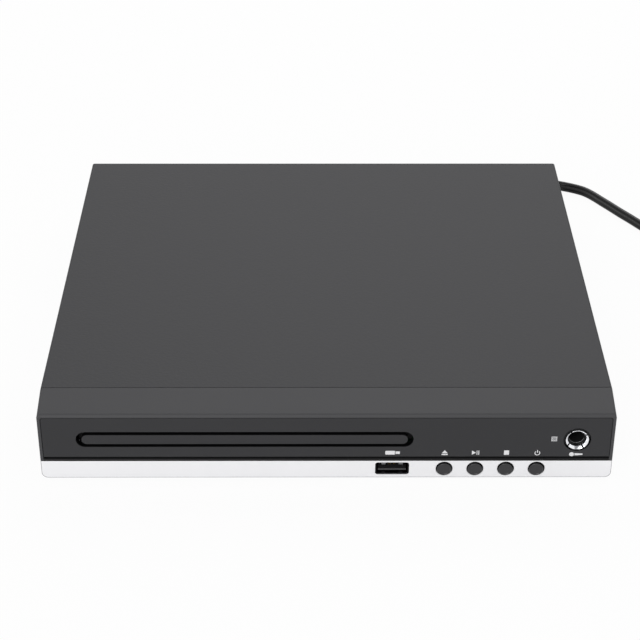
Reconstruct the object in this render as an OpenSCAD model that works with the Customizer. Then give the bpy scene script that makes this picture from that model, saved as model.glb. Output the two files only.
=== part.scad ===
// Compact disc player with a motor-driven loading tray.
// X runs across the front, Y from front to back, Z up. Lengths are in millimetres.
// The origin lies on the floor, below the middle of the case with its sockets and knobs.
// The tray is shut, the traverse is raised and the pickup is at its innermost radius.

/* [Case] */
// Width of the case
case_w = 225; // [222:1:240]
// Depth of the case, from the nose of the bezel to the rear edge of the cover
case_d = 208; // [206:1:230]
// Height of the top cover above the floor
case_h = 36.5; // [36:0.5:44]
// Height of the rubber feet
foot_h = 3.2; // [2.6:0.1:6]
// Diameter of the rubber feet
foot_dia = 16; // [12:0.5:20]
// Thickness of the painted cover sheet
cover_t = 0.7; // [0.5:0.05:0.9]
// Outer radius of the folds of the cover
fold_r = 1.1; // [1:0.1:2.5]
// Thickness of the base pan and of the rear panel
pan_t = 0.8; // [0.6:0.1:1]
// Height of the cover's rear lip
lip_h = 7; // [5:0.5:9]

/* [Bezel] */
// Depth of the bezel, from its nose to the seam with the cover
bezel_d = 14; // [13:0.5:18]
// Drop of the sloped band, from the cover down to the nose
nose_drop = 4.7; // [4:0.1:6]
// Radius of the nose
nose_r = 1.6; // [1.2:0.1:2.2]
// Wall of the bezel
bezel_t = 2; // [1.6:0.1:2.4]
// Width of the bezel's side returns beside the face plate
return_w = 1.2; // [1:0.1:2]
// Thickness of the inset face plate
plate_t = 2; // [1.6:0.1:2.4]
// Height of the pale lower strip
strip_h = 8.2; // [7.8:0.1:8.6]
// Height of the dark groove between the face plate and the strip
groove_h = 1.9; // [1.4:0.1:2.4]
// Radius of the strip's lower corners
strip_corner_r = 2.4; // [1.5:0.1:3]

/* [Tray] */
// Width of the tray
tray_w = 127; // [126:0.5:128]
// Length of the tray
tray_l = 158; // [154:1:160]
// Overall height of the tray
tray_h = 5.8; // [5.6:0.1:6]
// Diameter of the recess for a full-size disc
disc_recess_dia = 121.6; // [120.8:0.2:122]
// Diameter of the inner recess for a small disc
small_recess_dia = 81.6; // [80.8:0.2:83]
// Height of the tray door
door_h = 4.2; // [3.8:0.1:4.6]
// Thickness of the tray door
door_t = 2.8; // [2.2:0.1:3]
// Gap between the tray and each end of its slot
slot_gap = 2.5; // [2:0.1:3.5]
// Height of the slot in the face plate
slot_h = 7.2; // [6.8:0.1:7.8]
// Height of the slot's middle above the underside of the case
slot_rise = 18.4; // [18.2:0.1:19]
// Distance from the left side of the case to the middle of the tray
tray_inset = 80.5; // [79:0.5:82]
// Distance from the nose to the middle of the shut tray's disc
disc_back = 67; // [66:0.5:69]
// Travel of the tray
tray_travel = 126; // [110:1:128]

/* [Gears] */
// Module of the tray's rack and of the pinion that drives it
rack_m = 0.8; // [0.8:0.01:0.82]
// Teeth of the tray pinion
rack_pinion_n = 20; // [20:2:20]
// Module of the reduction gears
train_m = 0.6; // [0.58:0.01:0.6]
// Teeth of the tray gear
tray_gear_n = 46; // [44:2:46]
// Teeth of the pulley gear's pinion
pulley_pinion_n = 14; // [12:1:14]
// Groove radius of the large pulley
pulley_r = 11; // [9:0.5:11.2]
// Groove radius of the motor pulley
motor_pulley_r = 3; // [2.5:0.1:4]
// Side of the belt's square section
belt_t = 1.2; // [0.9:0.1:1.3]
// Module of the sled's gears
sled_m = 0.5; // [0.49:0.01:0.51]
// Teeth of the small sled gear
sled_pinion_n = 14; // [14:2:14]
// Teeth of the large sled gear
sled_gear_n = 30; // [28:2:30]
// Teeth of the sled motor's pinion
sled_motor_n = 12; // [12:1:12]
// Travel of the pickup sled
sled_travel = 35; // [30:1:35]
// Thinning of every tooth, for backlash
backlash = 0.12; // [0.08:0.01:0.16]

/* [Traverse] */
// Diameter of the guide rods
rod_dia = 3; // [2.6:0.1:3.2]
// Diameter of the spindle motor
spindle_motor_dia = 24; // [21:0.5:24.5]
// Diameter of the turntable
turntable_dia = 30; // [26:0.5:31]
// Diameter of the hub that centres the disc
hub_dia = 14.8; // [14.2:0.1:14.9]
// Travel of the cam slider
cam_travel = 12; // [10:0.5:12]
// Drop of the traverse's front pins over the cam's travel
cam_drop = 4.1; // [3:0.1:4.2]
// Diameter of the clamper's flange
clamper_dia = 34; // [32.5:0.5:36]

/* [Controls] */
// Diameter of a push button
button_dia = 5.8; // [5.6:0.1:6.2]
// Gap round a push button
button_gap = 0.45; // [0.4:0.01:0.48]
// Pitch of the push buttons
button_pitch = 12.13; // [11.6:0.1:12.4]
// Distance from the right side of the case to the leftmost button
button_inset = 66.1; // [65.5:0.1:66.5]
// Height of a button's front above the strip
button_proud = 0.6; // [0.4:0.1:0.9]
// Travel of a button
button_travel = 0.5; // [0.3:0.05:0.55]
// Height of the buttons' axes above the underside of the case
button_rise = 4; // [3.9:0.05:4.2]
// Distance from the right side of the case to the USB socket
usb_inset = 86.6; // [86:0.1:87]
// Distance from the right side of the case to the jack
jack_inset = 14.5; // [14:0.1:15]
// Radius of the bore of the microphone jack
jack_bore_r = 3.2; // [3.18:0.01:3.25]
// Radius of the jack's ring nut
nut_r = 4.75; // [4.6:0.05:5]
// Height of the ring nut above the face plate
nut_proud = 1; // [0.6:0.1:1.4]
// Side of the remote control's window
window_s = 2.4; // [2:0.1:3]

/* [Sockets] */
// Length of the AV sleeves behind the case
sleeve_out = 8.5; // [7.5:0.1:9.5]
// Outer radius of the AV sleeves
sleeve_r = 4.15; // [4.1:0.01:4.2]
// Bore radius of the AV sockets
av_bore_r = 1.65; // [1.6:0.01:1.7]
// Pitch of the AV sockets
av_pitch = 14; // [13:0.5:15]

/* [Power cord] */
// Width of the flat cord
cord_w = 5.2; // [5:0.1:5.4]
// Distance from the right side of the case to the cord
cord_inset = 14.5; // [14:0.5:18]

/* [Hidden] */
$fn = 48;
// A running fit on a pin, a free gap between parts, and an overlap that keeps cuts clean
fit = 0.06;
gap = 0.3;
eps = 0.5;
metal_dark = "#515153";
abs_black = "#3e3e40";
abs_pale = "#ebebed";
steel = "#b9bcc0";
pcb_green = "#2f6b45";
nylon = "#e9e6dc";

// Planes of the case
y_nose = nut_proud - (nut_proud + case_d + sleeve_out) / 2;
y_seam = y_nose + bezel_d;
y_rear = y_nose + case_d;
y_wall = y_nose + plate_t;
y_inside = y_wall + bezel_t;
z_under = foot_h;
z_pan = z_under + pan_t;
z_strip = z_under + strip_h;
z_face = z_strip + groove_h;
z_nose = case_h - nose_drop;
inner_w = case_w - 2 * cover_t;
seam_gap = 0.3;
// Stiffening beads pressed into the base pan
bead_l = 110;
bead_w = 6;
bead_h = 0.6;
cover_z = z_under + 0.5;

// Angle of the sloped band, which is tangent to the nose
band_run = bezel_d - nose_r;
band_angle = acos(nose_r / norm([band_run, nose_drop])) - atan(band_run / nose_drop);

// Tray and loader
tray_x = tray_inset - case_w / 2;
disc_y = y_nose + disc_back;
slot_w = tray_w + 2 * slot_gap;
slot_z = z_under + slot_rise;
tray_z = slot_z - tray_h / 2;
tray_y = y_nose + door_t + 0.4;
tray_end = tray_y + tray_l;
tray_top = tray_z + tray_h;
recess_z = tray_top - 1.8;
small_recess_z = recess_z - 0.8;
tray_floor_z = small_recess_z - 1.2;
rack_roof_z = recess_z - 1.4;
rail_z = tray_z - 0.2;
floor_z = tray_z - 2.5;
floor_t = 2;
tub_z = z_pan + 4;
tub_t = 1.6;
wall_t = 2;
wall_x = tray_w / 2 + 0.4;
frame_front = y_nose + 8;
frame_end = tray_end + 14.8;
wall_top = tray_top + 3.4;
deck_w = 76;
well_x = deck_w / 2 + 3;
boss_x = tray_w / 2 + 5.5;
boss_r = 3;

// Tray gear train. The rack's teeth face right, and the tray gear stands to its right.
rack_pinion_r = rack_m * rack_pinion_n / 2;
tray_gear_r = train_m * tray_gear_n / 2;
pulley_pinion_r = train_m * pulley_pinion_n / 2;
tray_gear_x = tray_x - tray_w / 2 + 19.5;
tray_gear_y = y_nose + 26;
train_angle = 10;
train_span = tray_gear_r + pulley_pinion_r;
pulley_x = tray_gear_x + train_span * cos(train_angle);
pulley_y = tray_gear_y + train_span * sin(train_angle);
gear_post_r = 1.5;
pulley_post_r = 1.25;
train_z = tub_z + tub_t + gap;
train_t = 3;
hub_z = train_z + train_t;
pinion_z = tray_z - 0.1;
pulley_z = train_z + train_t + 0.7;
pulley_t = 3;
belt_z = pulley_z + (pulley_t - belt_t) / 2;
load_motor_x = tray_x + 8;
load_motor_y = y_nose + 28;
load_motor_r = 10;
load_motor_h = 8;
tub_x0 = tray_gear_x - 18;
tub_x1 = tray_x + 44;

// Traverse
deck_z = z_pan + 8.6;
deck_t = 1;
deck_top = deck_z + deck_t;
deck_front = y_nose + 46;
deck_end = frame_end - 16;
hinge_y = deck_end - 3;
hinge_z = deck_top + 1.8;
hinge_r = 1.5;
grommet_r = 3.2;
pin_r = 1.2;
pin_x = 20;
pin_z = deck_top + 2.6;
cam_y = deck_front - 3.7;
cam_t = 2;
cam_z = tub_z + tub_t + 0.2;
cam_h = 8.8;
cam_half = 29;
cam_slot_r = pin_r + gap;
spindle_h = 4.6;
disc_z = recess_z + 0.5;
turntable_t = 1.3;
hub_top = disc_z + 2.3;
rod_r = rod_dia / 2;
rod_z = deck_top + 0.2 + rod_r;
rod_left = -23;
rod_right = 17;
rod_front = disc_y + 2;
rod_l = 76;
sled_y = disc_y + 23;
sled_half = 14;
sled_z = z_pan + 5;
sled_top = deck_top + 4;
sled_arm_z = deck_top + 0.3;
sled_rack_x = tray_x + 26.5;
sled_pinion_r = sled_m * sled_pinion_n / 2;
sled_gear_r = sled_m * sled_gear_n / 2;
sled_motor_r = sled_m * sled_motor_n / 2;
sled_gear_x = sled_rack_x + sled_pinion_r;
sled_gear_y = disc_y + 42;
sled_motor_y = sled_gear_y + sled_gear_r + sled_motor_r;
sled_big_z = deck_top + 2.7;
sled_big_t = 1.2;
window_x = 15.5;
window_y = disc_y + 8.6;
window_end = disc_y + 73;

// Clamp
bridge_z = wall_top;
bridge_t = 0.8;
bridge_half = 19;
bridge_hole_r = 15.2;
clamper_z = tray_top + 1.4;
clamper_r = bridge_hole_r - 0.6;

// Front controls
usb_x = case_w / 2 - usb_inset;
usb_z = z_under + 4.27;
usb_w = 13.1;
usb_h = 5.6;
usb_t = 0.3;
tongue_in = 1.6;
tongue_t = 1.35;
tongue_z = -2.15;
jack_x = case_w / 2 - jack_inset;
jack_z = slot_z - 0.2;
bushing_r = 4;
rim_h = 0.25;
// The keys hang on springs, so they sit a little low and to the left in their holes
key_sag = 0.2;
key_lean = 0.06;
ledge_t = 0.5;
ledge_back = 0.3;
button_x = case_w / 2 - button_inset;
button_z = z_under + button_rise;
button_names = ["button_eject", "button_play", "button_stop", "button_power"];
eye_x = jack_x - 9;
eye_z = slot_z + 0.1;
front_board_y = y_nose + 15;
board_t = 1.6;
switch_d = 3.6;
plunger_out = 0.8;
// The front board lies low beside the tub and stands high beside the tray
front_board_x = usb_x - 11;
board_step_x = tray_x + boss_x + boss_r + 3.4;
board_boss_x = [board_step_x + 7, jack_x - 17.6];
front_boss_z = z_nose - 6.2;
// Lugs by which the bezel is screwed to the pan
lug_x = [-case_w / 2 + 17.5, -20, case_w / 2 - 12.5];
lug_y = y_nose + 9;
stem_end = front_board_y - switch_d - plunger_out - button_travel - 0.1;

// Boards
board_z = z_pan + 4;
board_top = board_z + board_t;
panel_y = y_rear - cover_t - pan_t;
main_x0 = -case_w / 2 + 6.5;
main_w = 98;
main_d = 38;
main_x1 = main_x0 + main_w;
main_y1 = panel_y - 2;
main_y0 = main_y1 - main_d;
power_w = 60;
power_d = 90;
power_x1 = case_w / 2 - 5.5;
power_x0 = power_x1 - power_w;
power_y1 = panel_y - 6;
power_y0 = power_y1 - power_d;
av_x = main_x0 + 44;
av_z = board_top + 7.5;
hdmi_x = main_x0 + 20;
hdmi_z = board_top + 2.8;
cord_x = case_w / 2 - cord_inset;
cord_z = z_pan + 8;

// Screws of the cover and of the inside
screw_r = 1.45;
cover_screw_z = z_under + 9;
cover_screw_y = [y_seam + 24, y_rear - 26];
lip_screw_x = [-case_w / 2 + 20, 8, case_w / 2 - 34];
boss_y = [y_nose + 30, y_nose + 150];
foot_x = case_w / 2 - 20;
foot_y = [y_nose + 26, y_rear - 22];

// Cord on the floor. It leaves the relief, curls round behind the case and runs out to the coil.
relief_out = 14;
cord_r = cord_w / 2;
cord_start = y_rear + relief_out;
coil_mid_r = 29;
coil_band = 15.6;
coil_h = 10.4;
coil_r = coil_mid_r + coil_band / 2;
coil_x = 206.4;
coil_y = 97;
cord_route = [
    [cord_x, cord_start, cord_z], [cord_x + 0.2, cord_start + 6, 11.6], [cord_x + 1.6, cord_start + 11.8, 10.5],
    [102.5, 131.3, 9], [106.6, 135.6, 7.3], [111.7, 138.8, 5.6], [117.4, 140.5, 4.1], [123.4, 140.5, 3],
    [129.1, 138.7, 2.6], [134.1, 135.4, 2.6], [137.9, 130.8, 2.6], [141.1, 125.7, 2.6], [145.1, 119.4, 2.6],
    [149, 113, 2.6], [153.1, 106.7, 2.6], [157.1, 100.3, 2.6], [161.1, 94, 2.6], [165.2, 87.7, 2.6],
    [169.3, 81.4, 2.6], [173.4, 75.2, 2.6]
];

// ---------- helpers ----------

// A box between two corners
module block(x0, x1, y0, y1, z0, z1) {
    translate([x0, y0, z0]) cube([x1 - x0, y1 - y0, z1 - z0]);
}

// A flat shape drawn in X and Z, pushed back from y over a depth
module along_y(y, depth) {
    translate([0, y + depth, 0]) rotate([90, 0, 0]) linear_extrude(depth) children();
}

// A flat shape drawn in Y and Z, pushed right from x over a width
module along_x(x, width) {
    translate([x, 0, 0]) rotate([90, 0, 90]) linear_extrude(width) children();
}

// A round bar or hole along Y
module rod_y(x, y, z, r, l) {
    translate([x, y, z]) rotate([-90, 0, 0]) cylinder(r = r, h = l);
}

// A round bar or hole along X
module rod_x(x, y, z, r, l) {
    translate([x, y, z]) rotate([0, 90, 0]) cylinder(r = r, h = l);
}

// A slot with round ends, along X
module stadium(l, w) {
    square([l - w, w], center = true);
    for (side = [-1, 1]) translate([side * (l - w) / 2, 0]) circle(d = w);
}

// A rectangle with round corners
module round_rect(w, h, r) {
    square([w - 2 * r, h], center = true);
    square([w, h - 2 * r], center = true);
    for (i = [-1, 1], j = [-1, 1]) translate([i * (w / 2 - r), j * (h / 2 - r)]) circle(r);
}

// An arch with square feet and round shoulders
module arch(w, h, r) {
    translate([-w / 2, 0]) square([w, h - r]);
    translate([r - w / 2, 0]) square([w - 2 * r, h]);
    for (side = [-1, 1]) translate([side * (w / 2 - r), h - r]) circle(r);
}

// A screw along -Z with a pan head on z
module screw_down(x, y, z, l) {
    translate([x, y, z - l]) cylinder(r = screw_r - 0.1, h = l + 0.2);
    translate([x, y, z]) cylinder(r1 = 2.7, r2 = 2, h = 1.4);
}

// ---------- involute teeth ----------

pressure = 20;
function involute(a) = tan(a) * 180 / PI - a;
// Half of a tooth's angle at radius r, with the root under the base circle relieved
function tooth_half(n, m, r) =
    let (rp = n * m / 2, rb = rp * cos(pressure), rr = rp - 1.25 * m)
    let (half = 90 / n - backlash / 4 / rp * 180 / PI + involute(pressure))
    r >= rb ? half - involute(acos(rb / r)) : half - 3 * (rb - r) / max(0.01, rb - rr);
function tooth_radii(n, m) =
    let (rp = n * m / 2, rb = rp * cos(pressure))
    [rp - 1.25 * m, max(rb, rp - 1.15 * m), rp, rp + 0.55 * m, rp + 0.95 * m];
function gear_outline(n, m) =
    let (radii = tooth_radii(n, m))
    [for (i = [0:n - 1], side = [-1, 1], k = [0:4])
        let (r = radii[side < 0 ? k : 4 - k], a = 360 * i / n + side * tooth_half(n, m, r))
        r * [cos(a), sin(a)]];

// A spur gear on the XY plane, its first tooth turned to an angle
module spur(n, m, t, turn) {
    rotate(turn) linear_extrude(t) polygon(gear_outline(n, m));
}

// A rack whose teeth face +X, its pitch line on x = 0, with a gap at y = 0
function rack_outline(first, last, m, back) =
    let (p = PI * m, root = 1.25 * m, tip = 0.95 * m, half = p / 4 - backlash / 4, lean = tan(pressure))
    concat(
        [[-back, first * p], [-root, first * p]],
        [for (i = [first:last - 1], k = [0:3])
            let (side = k < 2 ? -1 : 1, out = k == 1 || k == 2)
            [out ? tip : -root, (i + 0.5) * p + side * (out ? half - tip * lean : half + root * lean)]],
        [[-root, last * p], [-back, last * p]]);

// ---------- case ----------

module vent_slots(x, y, z, count, pitch, l, w, depth) {
    for (i = [0:count - 1]) translate([x, y + (i - (count - 1) / 2) * pitch, z])
        rotate([0, 90, 0]) linear_extrude(depth) stadium(l, w);
}

module top_cover() color(metal_dark) difference() {
    union() {
        along_y(y_seam + seam_gap, y_rear - y_seam - seam_gap) translate([0, cover_z]) difference() {
            arch(case_w, case_h - cover_z, fold_r);
            translate([0, -eps]) arch(inner_w, case_h - cover_z + eps - cover_t, fold_r - cover_t);
        }
        along_y(y_rear - cover_t, cover_t) translate([0, case_h - lip_h])
            arch(inner_w, lip_h - cover_t, fold_r - cover_t);
    }
    for (side = [-1, 1], y = cover_screw_y)
        rod_x(side > 0 ? case_w / 2 - 2 : -case_w / 2 - 1, y, cover_screw_z, screw_r + 0.15, 3);
    for (x = lip_screw_x) rod_y(x, y_rear - 2, case_h - lip_h / 2 - 0.4, screw_r + 0.15, 3);
    for (side = [-1, 1], y = [y_seam + 62, y_rear - 66])
        vent_slots(side * case_w / 2 - 2, y, (case_h + z_under) / 2 + 2, 9, 4, 12, 1.6, 4);
}

module base_pan() color(steel) {
    half = inner_w / 2 - 0.1;
    difference() {
        union() {
            block(-half, half, y_seam + 1, y_rear - cover_t, z_under, z_pan);
            block(bezel_t + gap - case_w / 2, case_w / 2 - bezel_t - gap, y_nose + 6, y_seam + 2, z_under, z_pan);
            for (side = [-1, 1]) translate([side * (half - pan_t / 2), 0, 0])
                block(-pan_t / 2, pan_t / 2, y_seam + 1, panel_y, z_under, z_under + 13);
            for (x = [tray_x - boss_x, tray_x + boss_x], y = boss_y)
                translate([x, y, z_pan]) cylinder(r = boss_r, h = tub_z - z_pan);
            for (p = board_posts) translate([p[0], p[1], z_pan]) cylinder(r = 2.4, h = board_z - z_pan);
            for (x = [tray_x - 22, tray_x + 22]) translate([x, disc_y + 30, z_pan])
                linear_extrude(bead_h) rotate(90) stadium(bead_l, bead_w);
        }
        for (x = [tray_x - 22, tray_x + 22]) translate([x, disc_y + 30, z_under - eps])
            linear_extrude(bead_h + eps) rotate(90) stadium(bead_l, bead_w - 2 * bead_h);
        for (x = [-foot_x, foot_x], y = foot_y) translate([x, y, z_under - 1]) cylinder(r = 2.5, h = 3);
        for (side = [-1, 1], y = cover_screw_y)
            rod_x(side > 0 ? half - 2 : -half - 1, y, cover_screw_z, screw_r, 3);
        for (x = [tray_x - boss_x, tray_x + boss_x], y = boss_y)
            translate([x, y, z_pan]) cylinder(r = screw_r, h = 10);
        for (p = board_posts) translate([p[0], p[1], z_pan]) cylinder(r = screw_r, h = 10);
        for (x = lug_x) translate([x, lug_y, z_under - 1]) cylinder(r = screw_r + 0.15, h = 4);
        for (i = [0:9]) translate([(power_x0 + power_x1) / 2 + 5 * (i - 4.5), y_nose + 76, z_under - 1])
            linear_extrude(4) rotate(90) stadium(22, 2.2);
    }
}

board_posts = [
    [main_x0 + 4, main_y0 + 4], [main_x1 - 4, main_y0 + 4], [main_x0 + 4, main_y1 - 4], [main_x1 - 4, main_y1 - 4],
    [power_x0 + 4, power_y0 + 4], [power_x1 - 4, power_y0 + 4], [power_x0 + 4, power_y1 - 4],
    [power_x1 - 4, power_y1 - 4]
];

module rear_panel() color(steel) difference() {
    union() {
        block(-inner_w / 2 + 1, inner_w / 2 - 1, panel_y, panel_y + pan_t, z_pan, case_h - cover_t - 0.3);
        for (x = [-70, 30]) block(x, x + 24, panel_y - 7, panel_y, z_pan, z_pan + pan_t);
    }
    for (i = [0:2]) rod_y(av_x + i * av_pitch, panel_y - 1, av_z, sleeve_r - 0.4, 3);
    along_y(panel_y - 1, 3) translate([hdmi_x, hdmi_z]) round_rect(15.6, 6.2, 0.8);
    along_y(panel_y - 1, 3) translate([cord_x, cord_z]) round_rect(9.4, 7.4, 1);
    for (x = lip_screw_x) rod_y(x, panel_y - 1, case_h - lip_h / 2 - 0.4, screw_r, 3);
    for (i = [0:7]) along_y(panel_y - 1, 3) translate([22 + 5 * i, (z_pan + case_h) / 2 - 2])
        rotate(90) stadium(12, 2);
    for (x = [-70, 30]) translate([x + 12, panel_y - 4, z_pan - 1]) cylinder(r = screw_r, h = 4);
}

// ---------- front ----------

// Side view of the bezel: the band slopes down to the round nose, then the face drops to the underside
module bezel_side() {
    tangent_y = y_nose + nose_r - nose_r * sin(band_angle);
    tangent_z = z_nose + nose_r * cos(band_angle);
    polygon([
        [y_nose, z_under + 1.2], [y_seam, z_under + 1.2], [y_seam, case_h],
        [tangent_y, tangent_z], [y_nose + nose_r, z_nose], [y_nose, z_nose]
    ]);
    translate([y_nose + nose_r, z_nose]) circle(nose_r);
}

// The bezel's outside, with its upper side edges rounded like the folds of the cover
module bezel_outside() intersection() {
    along_x(-case_w / 2, case_w) bezel_side();
    translate([0, y_seam, case_h]) rotate([band_angle, 0, 0]) translate([0, 0, -case_h - 4])
        along_y(-2 * bezel_d - 4, 2 * bezel_d + 8) arch(case_w, case_h + 4, fold_r);
}

module bezel_cavity_side() {
    roof = case_h - bezel_t / cos(band_angle);
    polygon([
        [y_inside, z_under], [y_seam + 1, z_under], [y_seam + 1, roof + tan(band_angle)],
        [y_inside, roof - (y_seam - y_inside) * tan(band_angle)]
    ]);
}

// The cuts in the bezel's back wall, larger than the face's by a margin
module front_cuts(y, depth, margin) {
    along_y(y, depth) translate([tray_x, slot_z]) stadium(slot_w + 2 * margin, slot_h + 2 * margin);
    along_y(y, depth) translate([eye_x, eye_z]) square(window_s + 2 * margin, center = true);
}

module front_bezel() color(abs_black) difference() {
    union() {
        difference() {
            bezel_outside();
            along_x(-case_w / 2 + bezel_t, case_w - 2 * bezel_t) bezel_cavity_side();
        }
        for (x = [-84, -42, 0, 42, 84]) difference() {
            block(x - 8, x + 8, y_seam - 3, y_seam + 5, case_h - 4.2, case_h - cover_t - 0.15);
            along_x(x - 9, 18) polygon([
                [y_seam - 4, case_h - 5], [y_seam + 6, case_h - 5],
                [y_seam + 6, case_h - cover_t - 1.5], [y_seam - 4, case_h - cover_t - 2.5]
            ]);
        }
        for (x = board_boss_x) rod_y(x, y_inside - 0.5, front_boss_z, 2.5, front_board_y - y_inside + 0.5);
        for (x = lug_x) block(x - 4, x + 4, y_inside - 0.5, lug_y + 3, z_pan, z_pan + 2.6);
        for (x = [-60, -20, 62, 76]) block(x - 0.6, x + 0.6, y_inside - 0.5, y_seam - 1, z_nose - 3, z_nose + 1);
    }
    // Pocket of the face plate, the groove under it, and the step behind the strip
    along_y(y_nose - 1, plate_t + 1) {
        translate([0, z_face]) arch(case_w - 2 * return_w, z_nose - z_face, 1);
        translate([return_w - case_w / 2, z_strip + ledge_t])
            square([case_w - 2 * return_w, groove_h - ledge_t + eps]);
        translate([return_w - case_w / 2, z_under]) square([case_w - 2 * return_w, strip_h]);
    }
    // The ledge on top of the strip stops a little behind the strip's face
    block(return_w - case_w / 2, case_w / 2 - return_w, y_nose - 1, y_nose + ledge_back, z_strip - 1, z_face);
    // The strip's side returns lie in a step of the bezel's sides
    for (side = [-1, 1]) translate([side * (case_w / 2), 0, 0])
        block(-1.3, 1.3, y_nose - 1, y_seam + 1, z_under, z_strip);
    front_cuts(y_wall - eps, bezel_t + 2 * eps, 0.8);
    rod_y(jack_x, y_wall - eps, jack_z, bushing_r + 0.2, bezel_t + 1);
    along_y(y_wall - eps, bezel_t + 1) translate([usb_x, usb_z]) round_rect(usb_w + 1, usb_h + 1, 1);
    for (i = [0:3]) {
        rod_y(button_x + i * button_pitch, y_wall - eps, button_z, button_dia / 2 + 0.6, bezel_t + 1);
    }
    for (x = board_boss_x) rod_y(x, front_board_y - 7, front_boss_z, screw_r, 8);
    for (x = lug_x) translate([x, lug_y, z_pan - 1]) cylinder(r = screw_r, h = 6);
}

module face_plate() color(abs_black) difference() {
    along_y(y_nose, plate_t) translate([0, z_face])
        arch(case_w - 2 * return_w - 0.5, z_nose - z_face - 0.2, 0.9);
    front_cuts(y_nose - 1, plate_t + 2, 0);
    rod_y(jack_x, y_nose - 1, jack_z, nut_r + 0.65, plate_t + 2);
}

module lower_strip() color(abs_pale) difference() {
    union() {
        along_y(y_nose, plate_t) strip_front(case_w);
        for (side = [-1, 1]) intersection() {
            along_y(y_nose, bezel_d - 0.1) strip_front(case_w);
            translate([side * (case_w / 2), 0, 0]) block(-1.2, 1.2, y_nose, y_seam, z_under, z_strip);
        }
        block(-case_w / 2 + 4, case_w / 2 - 4, y_nose + 1, y_nose + 5, z_under, z_under + 0.8);
    }
    for (i = [0:3])
        rod_y(button_x + i * button_pitch + key_lean, y_nose - 1, button_z + key_sag,
            button_dia / 2 + button_gap, 4);
    along_y(y_nose - 1, 4) translate([usb_x, usb_z]) round_rect(usb_w + 0.3, usb_h + 0.3, 1.1);
}

module strip_front(w) {
    translate([0, z_strip - 0.05]) mirror([0, 1]) arch(w, strip_h - 0.05, strip_corner_r);
}

module remote_window() color("#8f9094") {
    along_y(y_nose + 0.1, y_inside - y_nose) translate([eye_x, eye_z]) square(window_s - 0.1, center = true);
    along_y(y_inside, 1) translate([eye_x - 0.9, eye_z]) square([window_s + 1.9, window_s + 3], center = true);
}

module feet() color("#1c1c1d") for (x = [-foot_x, foot_x], y = foot_y) translate([x, y, 0]) {
    rotate_extrude() polygon([
        [1.8, foot_h], [1.8, 0.8], [2.6, 0], [foot_dia / 2 - 0.8, 0], [foot_dia / 2, 0.8],
        [foot_dia / 2 - 0.4, foot_h]
    ]);
    translate([0, 0, foot_h - 1]) cylinder(r = 2.45, h = 1 + pan_t + 0.6);
    translate([0, 0, foot_h + pan_t + 0.05]) cylinder(r1 = 3.1, r2 = 2, h = 1);
}

// A screw of the case, its head on z = 0
module case_screw() {
    translate([0, 0, -3]) cylinder(r = screw_r - 0.05, h = 3.2);
    cylinder(r1 = 2.8, r2 = 2.1, h = 1.3);
}

module cover_screws() color(steel) {
    for (side = [-1, 1], y = cover_screw_y) mirror([side < 0 ? 1 : 0, 0, 0])
        translate([case_w / 2, y, cover_screw_z]) rotate([0, 90, 0]) case_screw();
    for (x = lip_screw_x) translate([x, y_rear, case_h - lip_h / 2 - 0.4]) rotate([-90, 0, 0]) case_screw();
    for (x = lug_x) translate([x, lug_y, z_under]) rotate([180, 0, 0]) case_screw();
}

module inner_screws() color(steel) {
    for (x = [tray_x - boss_x, tray_x + boss_x], y = boss_y) screw_down(x, y, tub_z + tub_t, 4.4);
    for (p = board_posts) screw_down(p[0], p[1], board_top, 5);
    for (side = [-1, 1], y = [-13, 13])
        screw_down(tray_x + side * boss_x, disc_y + y, bridge_z + bridge_t, 6);
    for (x = board_boss_x) translate([x, front_board_y + board_t, front_boss_z]) rotate([-90, 0, 0]) {
        translate([0, 0, -6]) cylinder(r = screw_r - 0.1, h = 6.2);
        cylinder(r1 = 2.7, r2 = 2, h = 1.4);
    }
}

// ---------- tray ----------

module disc_tray() color(abs_black) difference() {
    union() {
        block(tray_x - tray_w / 2, tray_x + tray_w / 2, tray_y, tray_end, tray_floor_z, tray_top);
        for (side = [-1, 1]) translate([tray_x + side * (tray_w / 2 - 1), 0, 0])
            block(-1, 1, tray_y, tray_end, tray_z, tray_top);
        block(tray_x - tray_w / 2, tray_x + tray_w / 2, tray_y, tray_y + 1.6, tray_z, tray_top);
    }
    // Recesses for the two sizes of disc
    translate([tray_x, disc_y, recess_z]) cylinder(r = disc_recess_dia / 2, h = 10, $fn = 96);
    translate([tray_x, disc_y, small_recess_z]) cylinder(r = small_recess_dia / 2, h = 10, $fn = 96);
    // Opening for the turntable and the lens, open to the rear
    translate([tray_x, disc_y, tray_z]) cylinder(r = 17.5, h = 20);
    block(tray_x - 17.5, tray_x + 17.5, disc_y, tray_end + 1, tray_z - 1, tray_top + 1);
    // Channel for the rack and its pinion, and pockets under the four corners
    block(tray_gear_x - 14, tray_gear_x + 11, tray_y + 3, tray_end + 1, tray_z - 1, rack_roof_z);
    for (x = [[3 - tray_w / 2, -20], [20, tray_w / 2 - 3]], y = [[3, 20], [tray_l - 43, tray_l - 9]])
        block(tray_x + x[0], tray_x + x[1], tray_y + y[0], tray_y + y[1], tray_z, recess_z - 1.3);
    // Finger notches in the rim
    for (side = [-1, 1]) translate([tray_x + side * (tray_w / 2 + 3), disc_y, recess_z])
        cylinder(r = 12, h = 10);
    // Rear end lightened
    for (side = [-1, 1]) block(tray_x + side * 40 - 14, tray_x + side * 40 + 14, tray_end - 24, tray_end - 4,
        tray_top - 0.9, tray_top + 1);
}

module tray_rack() {
    first = -5;
    last = ceil((tray_travel + 12) / (PI * rack_m));
    translate([tray_gear_x - rack_pinion_r, tray_gear_y, tray_z + 0.1])
        linear_extrude(rack_roof_z - tray_z - 0.1) polygon(rack_outline(first, last, rack_m, 4));
}

module tray_with_rack() color(abs_black) union() {
    disc_tray();
    tray_rack();
}

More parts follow.
